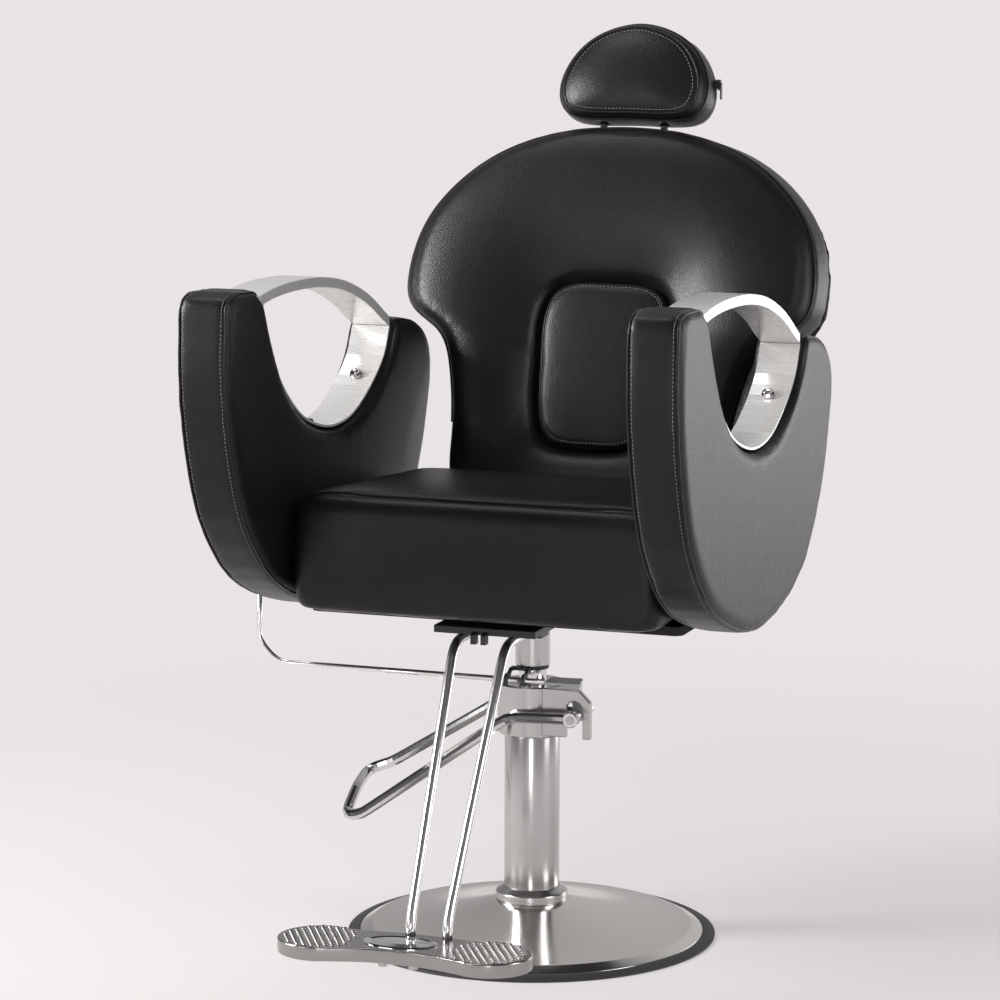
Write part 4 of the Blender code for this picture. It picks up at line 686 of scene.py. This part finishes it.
def sew_arm(label, obj):
    """Grooves beside both edges of the band, piping on the edges, stitches on the band."""
    side = 1 if label == "left" else -1
    low, high = side * ARM_INNER, side * (ARM_INNER + ARM_THICKNESS)

    def grooves(points, normals):
        flat = np.clip(1.5 - 2.2 * np.abs(normals[:, 0]), 0, 1)
        inset = side * ARM_GROOVE_INSET
        depth = sum(valley(points[:, 0] - at, ARM_GROOVE_WIDTH, ARM_GROOVE_DEPTH)
                    for at in (low + inset, high - inset))
        return depth * flat

    press(obj, grooves)
    cords, threads = [], []
    for edge, turn in ((low, 1), (high, -1)):
        at = edge + turn * side * ARM_PIPING_INSET
        path = np.column_stack([np.full(len(ARM_EDGE_LINE), at), ARM_EDGE_LINE])
        cords.append(welt_arrays(obj, path, PIPING_RADIUS))
        path[:, 0] = edge + turn * side * ARM_STITCH_INSET
        threads.append(stitch_arrays(obj, path))
    surface("arm_piping_" + label, *joined(cords), PIPING, "seat", "leather")
    surface("arm_stitches_" + label, *joined(threads), THREAD, "seat", "leather")


# The raked back's own axes start at BACK_FOOT: along runs up it, out runs forwards from it.
RAKE = math.radians(22.0)
BACK_FOOT = np.array([0.0, 0.198, 0.590])
BACK_OUT = np.array([0.0, -math.cos(RAKE), math.sin(RAKE)])
BACK_PIPING_OUT, BACK_GROOVE_OUT = -0.010, -0.0155
BACK_GROOVE_WIDTH, BACK_GROOVE_DEPTH, BACK_GROOVE_START = 0.0035, 0.0018, 0.05


def on_back(flat):
    """World points of rows (across, along, out) on the raked back."""
    flat = np.asarray(flat, dtype=float)
    x, s, n = flat[:, 0], flat[:, 1], flat[:, 2]
    return np.stack([x, BACK_FOOT[1] + s * math.sin(RAKE) - n * math.cos(RAKE),
                     BACK_FOOT[2] + s * math.cos(RAKE) + n * math.sin(RAKE)], 1)


def back_place(points):
    """(along, out) of world points on the raked back."""
    y, z = points[:, 1] - BACK_FOOT[1], points[:, 2] - BACK_FOOT[2]
    along = y * math.sin(RAKE) + z * math.cos(RAKE)
    out = -y * math.cos(RAKE) + z * math.sin(RAKE)
    return along, out


def mirrored(half):
    """A left half outline from bottom to top, made whole, as an open path."""
    half = np.asarray(half, dtype=float)
    whole = np.vstack([half, (half * (-1, 1))[::-1][1:]])
    return catmull(whole, 8)


def sew_back(obj):
    """Piping round the cushion's front edge, and a groove in its side behind the piping."""
    edge = mirrored([(0.208, 0.080), (0.218, 0.141), (0.231, 0.196), (0.240, 0.213),
                     (0.256, 0.227), (0.280, 0.232), (0.298, 0.243), (0.304, 0.270),
                     (0.301, 0.330), (0.284, 0.386), (0.242, 0.442), (0.191, 0.482),
                     (0.144, 0.504), (0.080, 0.521), (0.0, 0.527)])
    cord = on_back(np.column_stack([edge * (0.995, 1), np.full(len(edge), BACK_PIPING_OUT)]))

    def grooves(points, normals):
        along, out = back_place(points)
        lateral = np.clip(1.3 - 1.6 * np.abs(normals @ BACK_OUT), 0, 1)
        groove = valley(out - BACK_GROOVE_OUT, BACK_GROOVE_WIDTH, BACK_GROOVE_DEPTH)
        return groove * lateral * (along > BACK_GROOVE_START)

    press(obj, grooves)
    cord = welt_arrays(obj, cord, PIPING_RADIUS)
    surface("back_piping", *cord, PIPING, "back", "leather")


PAD_LOW, PAD_HIGH, PAD_HALF_WIDTH, PAD_OUT = 0.047, 0.301, 0.095, -0.008
PAD_POWER, PAD_FLARE = 4.2, 0.08
FINE_PIPING_RADIUS, SEAM_RADIUS = 0.0013, 0.0015


def sew_pad(obj):
    """Piping and stitches on rounded rectangles: |x / half width|^4.2 + |s / half height|^4.2
    is 1, where the half width grows by a few percent towards the top."""
    angle = np.linspace(0, 2 * math.pi, 181)[:-1]
    centre = (PAD_LOW + PAD_HIGH) / 2

    def loop(shrink):
        half_height = (PAD_HIGH - PAD_LOW) / 2 - shrink
        half_width = (PAD_HALF_WIDTH - shrink) * (1 + PAD_FLARE * np.sin(angle))
        reach = (np.abs(np.cos(angle) / half_width) ** PAD_POWER
                 + np.abs(np.sin(angle) / half_height) ** PAD_POWER) ** (-1 / PAD_POWER)
        return on_back(np.column_stack([reach * np.cos(angle), centre + reach * np.sin(angle),
                                        np.full(len(angle), PAD_OUT)]))

    piping = welt_arrays(obj, loop(0.0045), FINE_PIPING_RADIUS, closed=True)
    surface("pad_piping", *piping, PIPING, "back", "leather")
    stitches = stitch_arrays(obj, loop(0.0095), True)
    surface("pad_stitches", *stitches, THREAD, "back", "leather")


ZIP_OUT, ZIP_START, ZIP_PITCH, TOOTH_LENGTH, TOOTH_RADIUS = -0.048, 0.070, 0.0030, 0.0019, 0.0012


def sew_headrest(obj):
    """Two piping loops, a stitched loop and zip teeth, all on the outline drawn in towards its
    centre by an inset and lowered a little with its depth."""
    foot, half_width, top = 0.5345, 0.114, 0.680
    half = [(0.0, foot), (0.055, foot - 0.001), (0.090, foot + 0.002), (0.1075, foot + 0.015),
            (half_width, foot + 0.043), (0.1095, foot + 0.068), (0.096, foot + 0.096),
            (0.074, foot + 0.120), (0.042, foot + 0.137), (0.0, top)]
    whole = np.asarray(half + [(-x, s) for x, s in half[-2:0:-1]])
    edge = catmull(np.vstack([whole, whole[:1]]), 8)[:-1]
    centre = np.array([0.0, foot + 0.062])
    mean_radius, slant = 0.085, 0.09

    def loop(inset, out):
        flat = centre + (edge - centre) * (1 - inset / mean_radius)
        return on_back(np.column_stack([flat[:, 0], flat[:, 1] - out * slant,
                                        np.full(len(flat), out)]))

    cords = [welt_arrays(obj, loop(0.011, -0.002), SEAM_RADIUS, closed=True),
             welt_arrays(obj, loop(0.002, -0.016), FINE_PIPING_RADIUS, closed=True)]
    surface("headrest_piping", *joined(cords), PIPING, "headrest", "leather")
    zip_line = loop(0.0, ZIP_OUT)
    zip_line = zip_line[zip_line[:, 0] > ZIP_START]
    zip_line = zip_line[np.argsort(zip_line[:, 2])]
    teeth = stitch_arrays(obj, zip_line, False, ZIP_PITCH, TOOTH_LENGTH, TOOTH_RADIUS)
    surface("headrest_zip_teeth", *teeth, ZIP_METAL, "headrest", "black_steel")
    stitches = stitch_arrays(obj, loop(0.0165, 0.002), True)
    surface("headrest_stitches", *stitches, THREAD, "headrest", "leather")


SEAT_GROOVE_Y, SEAT_FOLD_Y, SEAT_STITCH_Y = -0.2255, -0.2290, -0.2195
SEAT_GROOVE_WIDTH, SEAT_GROOVE_DEPTH = 0.0030, 0.0022
SEAT_SEAM_REACH, ABOVE_SEAT = 0.244, 0.640


def sew_seat(obj):
    """A cross seam behind the front edge of the seat: a groove, a fold and its stitches."""
    def grooves(points, normals):
        up = np.clip(normals[:, 2] * 2 - 0.6, 0, 1)
        return valley(points[:, 1] - SEAT_GROOVE_Y, SEAT_GROOVE_WIDTH, SEAT_GROOVE_DEPTH) * up

    press(obj, grooves)
    across = np.linspace(-SEAT_SEAM_REACH, SEAT_SEAM_REACH, 120)
    line = np.column_stack([across, np.full(len(across), SEAT_FOLD_Y),
                            np.full(len(across), ABOVE_SEAT)])
    surface("seat_seam", *welt_arrays(obj, line, SEAM_RADIUS), PIPING, "seat", "leather")
    line[:, 1] = SEAT_STITCH_Y
    surface("seat_stitches", *stitch_arrays(obj, line), THREAD, "seat", "leather")


# ---- foot plate and rods ----------------------------------------------------------------
FOOT_TOP, FOOT_THICKNESS, FOOT_PLATE_X = 0.115, 0.018, 0.0065
FOOT_PAD = (0.1105, -0.503)
FOOT_PAD_REACH = (0.0555, 0.052)
FOOT_STEP, FOOT_RIM = 0.0022, 0.0019
STUD_PITCH, STUD_RADIUS, STUD_HEIGHT, STUD_SINK, STUD_SIDES = 0.0098, 0.0035, 0.0026, 0.0003, 10
STUD_MARGIN, STUD_REACH_INWARDS = 0.0065, 0.041


def foot_outline():
    """Two round pads joined by a waist, as a closed path round the plate."""
    angle = np.radians(-118 + 236 * np.arange(15) / 14)
    right = np.stack([FOOT_PAD[0] + FOOT_PAD_REACH[0] * np.cos(angle),
                      FOOT_PAD[1] + FOOT_PAD_REACH[1] * np.sin(angle)], 1)
    waist = 0.72 * (FOOT_PAD[0] - FOOT_PAD_REACH[0])
    rear = [(waist, -0.453), (0.0, -0.452), (-waist, -0.453)]
    front = [(-waist, -0.537), (0.0, -0.535), (waist, -0.537)]
    ring = np.vstack([right, rear, (right * (-1, 1))[::-1], front])
    ring = np.vstack([ring[-2:], ring, ring[:3]])
    curve = catmull(ring, 8)[16:-17]
    return evenly(curve, FOOT_STEP, True) + (FOOT_PLATE_X, 0)


def plate_arrays():
    """Rings of the outline: z falls off over a quarter circle of FOOT_RIM at both rims."""
    edge = foot_outline()
    ahead = np.roll(edge, -1, 0) - np.roll(edge, 1, 0)
    ahead /= np.linalg.norm(ahead, axis=1, keepdims=True)
    out = np.stack([ahead[:, 1], -ahead[:, 0]], 1)
    turn = np.radians([90, 67, 45, 22, 0])
    steps = [(-0.0040, FOOT_TOP)]
    steps += [(FOOT_RIM * (math.cos(a) - 1), FOOT_TOP - FOOT_RIM * (1 - math.sin(a)))
              for a in turn]
    low = FOOT_TOP - FOOT_THICKNESS
    steps += [(inset, low + FOOT_TOP - height) for inset, height in steps[::-1]]
    rings = [np.column_stack([edge + out * inset, np.full(len(edge), height)])
             for inset, height in steps]
    count = len(edge)
    faces = [[a, d, c, b] for a, b, c, d in grid_faces(len(rings), count)]
    faces.append(list(range(count)))
    faces.append([(len(rings) - 1) * count + k for k in range(count - 1, -1, -1)])
    return np.vstack(rings), faces


def stud_arrays():
    """Studs in rows half a pitch apart on both pads, where an ellipse inside the pad has room.
    Each is a dome: at a share h of its height, its girth is sqrt(1 - h^2) of its radius."""
    row, column = np.meshgrid(np.arange(-7, 8), np.arange(-7, 8))
    x = (column + 0.5 * (row % 2)) * STUD_PITCH
    y = row * STUD_PITCH * math.sqrt(0.75)
    wide, deep = (reach - STUD_MARGIN for reach in FOOT_PAD_REACH)
    keep = ((x / wide) ** 2 + (y / deep) ** 2 < 1) & (x > -STUD_REACH_INWARDS)
    angle = np.linspace(0, 2 * math.pi, STUD_SIDES, endpoint=False)
    rise = np.array([0.0, 0.35, 0.70, 0.92])
    girth = STUD_RADIUS * np.sqrt(1 - rise ** 2)
    rings = [np.column_stack([g * np.cos(angle), g * np.sin(angle),
                              np.full(STUD_SIDES, STUD_HEIGHT * h - STUD_SINK)])
             for g, h in zip(girth, rise)]
    dome = np.vstack(rings + [[(0.0, 0.0, STUD_HEIGHT - STUD_SINK)]])
    tip = len(rise) * STUD_SIDES
    last = tip - STUD_SIDES
    shape = grid_faces(len(rise), STUD_SIDES)
    shape += [[last + k, last + (k + 1) % STUD_SIDES, tip] for k in range(STUD_SIDES)]
    shape.append(list(range(STUD_SIDES - 1, -1, -1)))
    return [(dome + (FOOT_PLATE_X + side * (FOOT_PAD[0] + across), FOOT_PAD[1] + along, FOOT_TOP),
             shape)
            for side in (-1, 1) for across, along in zip(x[keep], y[keep])]


def build_foot_plate():
    """The plate and its studs as one piece."""
    surface("foot_plate_fine", *joined([plate_arrays()] + stud_arrays()), STEEL_PLATE, "seat",
            "brushed_steel", ("foot_plate",))


def bend(before, corner, after, reach, share, steps):
    """Quadratic curve that leaves one side and joins the other a reach away from the corner, or
    at most a share of that side away: start (1-t)^2 + corner 2t(1-t) + end t^2."""
    t = np.linspace(0, 1, steps)[:, None]
    into, away = before - corner, after - corner
    start = corner + into * min(reach / np.linalg.norm(into), share)
    end = corner + away * min(reach / np.linalg.norm(away), share)
    return start * (1 - t) ** 2 + corner * 2 * t * (1 - t) + end * t * t


def bent(corners, reach, steps=12):
    """An open line of corners whose inner ones become bends."""
    corners = np.asarray(corners, dtype=float)
    bends = [bend(*three, reach, 0.49, steps) for three in zip(corners, corners[1:], corners[2:])]
    return np.vstack([corners[:1], *bends, corners[-1:]])


def build_rods():
    """Round bars along bent lines: the footrest's two run forwards under the seat, then down to
    the plate; the release rod runs out sideways, then up to its grip."""
    spread, foot_middle, foot_spread = 0.035, 0.024, 0.0245
    rod_z, bend_y, foot_y = 0.4397, -0.212, -0.462
    for side, label in ((-1, "right"), (1, "left")):
        rear, foot = side * spread, foot_middle + side * foot_spread
        path = bent([(rear, -0.045, rod_z), (rear, bend_y, rod_z), (foot, foot_y, 0.135),
                     (foot, foot_y, 0.1153)], 0.028)
        surface("footrest_rod_fine_" + label, *tube_arrays(path, 0.0065, 24), BRIGHT, "seat",
                "chrome", ("footrest_rod_" + label,))
    release_y, release_z = -0.0475, 0.3585
    path = bent([(0.0337, release_y, release_z), (-0.352, release_y, release_z),
                 (-0.381, release_y, 0.3885), (-0.376, release_y, 0.500)], 0.018)
    surface("release_rod_fine", *tube_arrays(path, 0.0038, 20), BRIGHT, "release", "chrome",
            ("release_rod",))


# ---- base -------------------------------------------------------------------------------
BASE_RADIUS, COVER_RADIUS, PLATE_TOP, GAP = 0.250, 0.2335, 0.005, 0.0003
RUBBER_WIDTH, RUBBER_EDGE, RUBBER_TOP = 0.012, 0.0024, 0.0064
COLUMN_RADIUS, COLUMN_WALL, COLUMN_TOP, COLUMN_SINK = 0.0375, 0.003, 0.2785, 0.0015
COVER_WALL, COVER_RING, COVER_STEP, COVER_RISE = 0.0012, 0.016, 0.0078, 0.0335
COLLAR_WIDTH, COLLAR_HEIGHT, COLLAR_CHAMFER = 0.0115, 0.018, 0.0015


def lathe_arrays(profile, sides=200):
    """A closed profile of (radius, height) swept once round the column's axis."""
    profile = np.asarray(profile, dtype=float)
    angle = np.linspace(0, 2 * math.pi, sides, endpoint=False)
    points = np.stack([profile[:, None, 0] * np.cos(angle), profile[:, None, 0] * np.sin(angle),
                       np.broadcast_to(profile[:, None, 1], (len(profile), sides))], -1)
    return points.reshape(-1, 3), grid_faces(len(profile), sides, True)


def eased_corners(profile, reach, steps=5):
    """The closed profile with every corner made a small bend."""
    profile = np.asarray(profile, dtype=float)
    threes = zip(np.roll(profile, 1, 0), profile, np.roll(profile, -1, 0))
    return np.vstack([bend(*three, reach, 0.45, steps) for three in threes])


def build_base():
    """Lathed cover, collar, column and tyre. The cover's height is its foot plus COVER_RISE
    times share^1.5, where share runs from 0 at its outer ring to 1 at the collar."""
    lip, edge, hole = PLATE_TOP + GAP, COVER_RADIUS - GAP, COLUMN_RADIUS + GAP
    rim = COLUMN_RADIUS + COLLAR_WIDTH
    outer = COVER_RADIUS - COVER_RING
    foot = PLATE_TOP + GAP + COVER_WALL + COVER_STEP

    def cover(radius):
        share = (outer - np.maximum(radius, rim)) / (outer - rim)
        return foot + COVER_RISE * np.maximum(share, 0) ** 1.5

    radii = np.linspace(edge - COVER_RING, rim, 26)
    dome = np.stack([radii, cover(radii)], 1)
    inside = np.stack([radii[::-2], cover(radii[::-2]) - COVER_WALL], 1)
    ring = [(edge, lip), (edge, lip + COVER_WALL)]
    profile = np.vstack([bent(np.vstack([ring, dome[:2]]), 0.0020, 6), dome[2:],
                         [(hole, cover(hole))], [(hole, cover(hole) - COVER_WALL)], inside,
                         [(edge - COVER_WALL, lip)]])
    surface("base_cover_fine", *lathe_arrays(profile), DOME, "base", "brushed_steel",
            ("base_cover",))
    low = cover(hole) + GAP
    shoulder = low + COLLAR_HEIGHT * 0.6
    collar = [(hole, low), (rim, low), (rim, shoulder),
              (rim - COLLAR_CHAMFER, shoulder + COLLAR_CHAMFER), (hole + 0.002, low + 0.017),
              (hole + 0.001, low + COLLAR_HEIGHT), (hole, low + COLLAR_HEIGHT)]
    surface("base_collar_fine", *lathe_arrays(eased_corners(collar, 0.0012), 120), SATIN,
            "base", "brushed_steel", ("base_collar",))
    bore, bottom, top = COLUMN_RADIUS - COLUMN_WALL, PLATE_TOP - COLUMN_SINK, COLUMN_TOP - GAP
    tube = [(bore, bottom), (COLUMN_RADIUS, bottom), (COLUMN_RADIUS, top), (bore, top)]
    surface("column_tube_fine", *lathe_arrays(eased_corners(tube, 0.0006, 3), 120), SATIN,
            "base", "brushed_steel", ("column_tube",))
    inner = BASE_RADIUS - RUBBER_WIDTH
    tyre = [(inner, 0), (BASE_RADIUS, 0), (BASE_RADIUS, RUBBER_EDGE),
            (COVER_RADIUS + 0.001, RUBBER_TOP), (COVER_RADIUS, RUBBER_TOP), (COVER_RADIUS, lip),
            (inner, lip)]
    surface("base_rubber_ring_fine", *lathe_arrays(eased_corners(tyre, 0.0006, 3)), RUBBER,
            "base", "rubber", ("base_rubber_ring",))


# ---- scene ------------------------------------------------------------------------------
dress_nodes()
seat = stuffed("seat_cushion", "seat", BROAD_VOXEL)
back = stuffed("back_cushion", "back", BROAD_VOXEL)
pad = stuffed("back_center_pad", "back", FINE_VOXEL, inset=0.003, cap=0.0027)
stuffed("back_board", "back", BOARD_VOXEL, inset=0.0015, cap=0.0012)
headrest = stuffed("headrest_cushion", "headrest", FINE_VOXEL, inset=-0.0006, cap=0.0008)
arms = {label: stuffed("arm_panel_" + label, "seat", BROAD_VOXEL, pre=0, rounds=8)
        for label in ("left", "right")}
for label, arm in arms.items():
    sew_arm(label, arm)
sew_seat(seat)
sew_back(back)
sew_pad(pad)
sew_headrest(headrest)
build_foot_plate()
build_rods()
build_base()
place_camera()
make_world()
make_floor()
place_lights()
scene.view_settings.view_transform = "Standard"
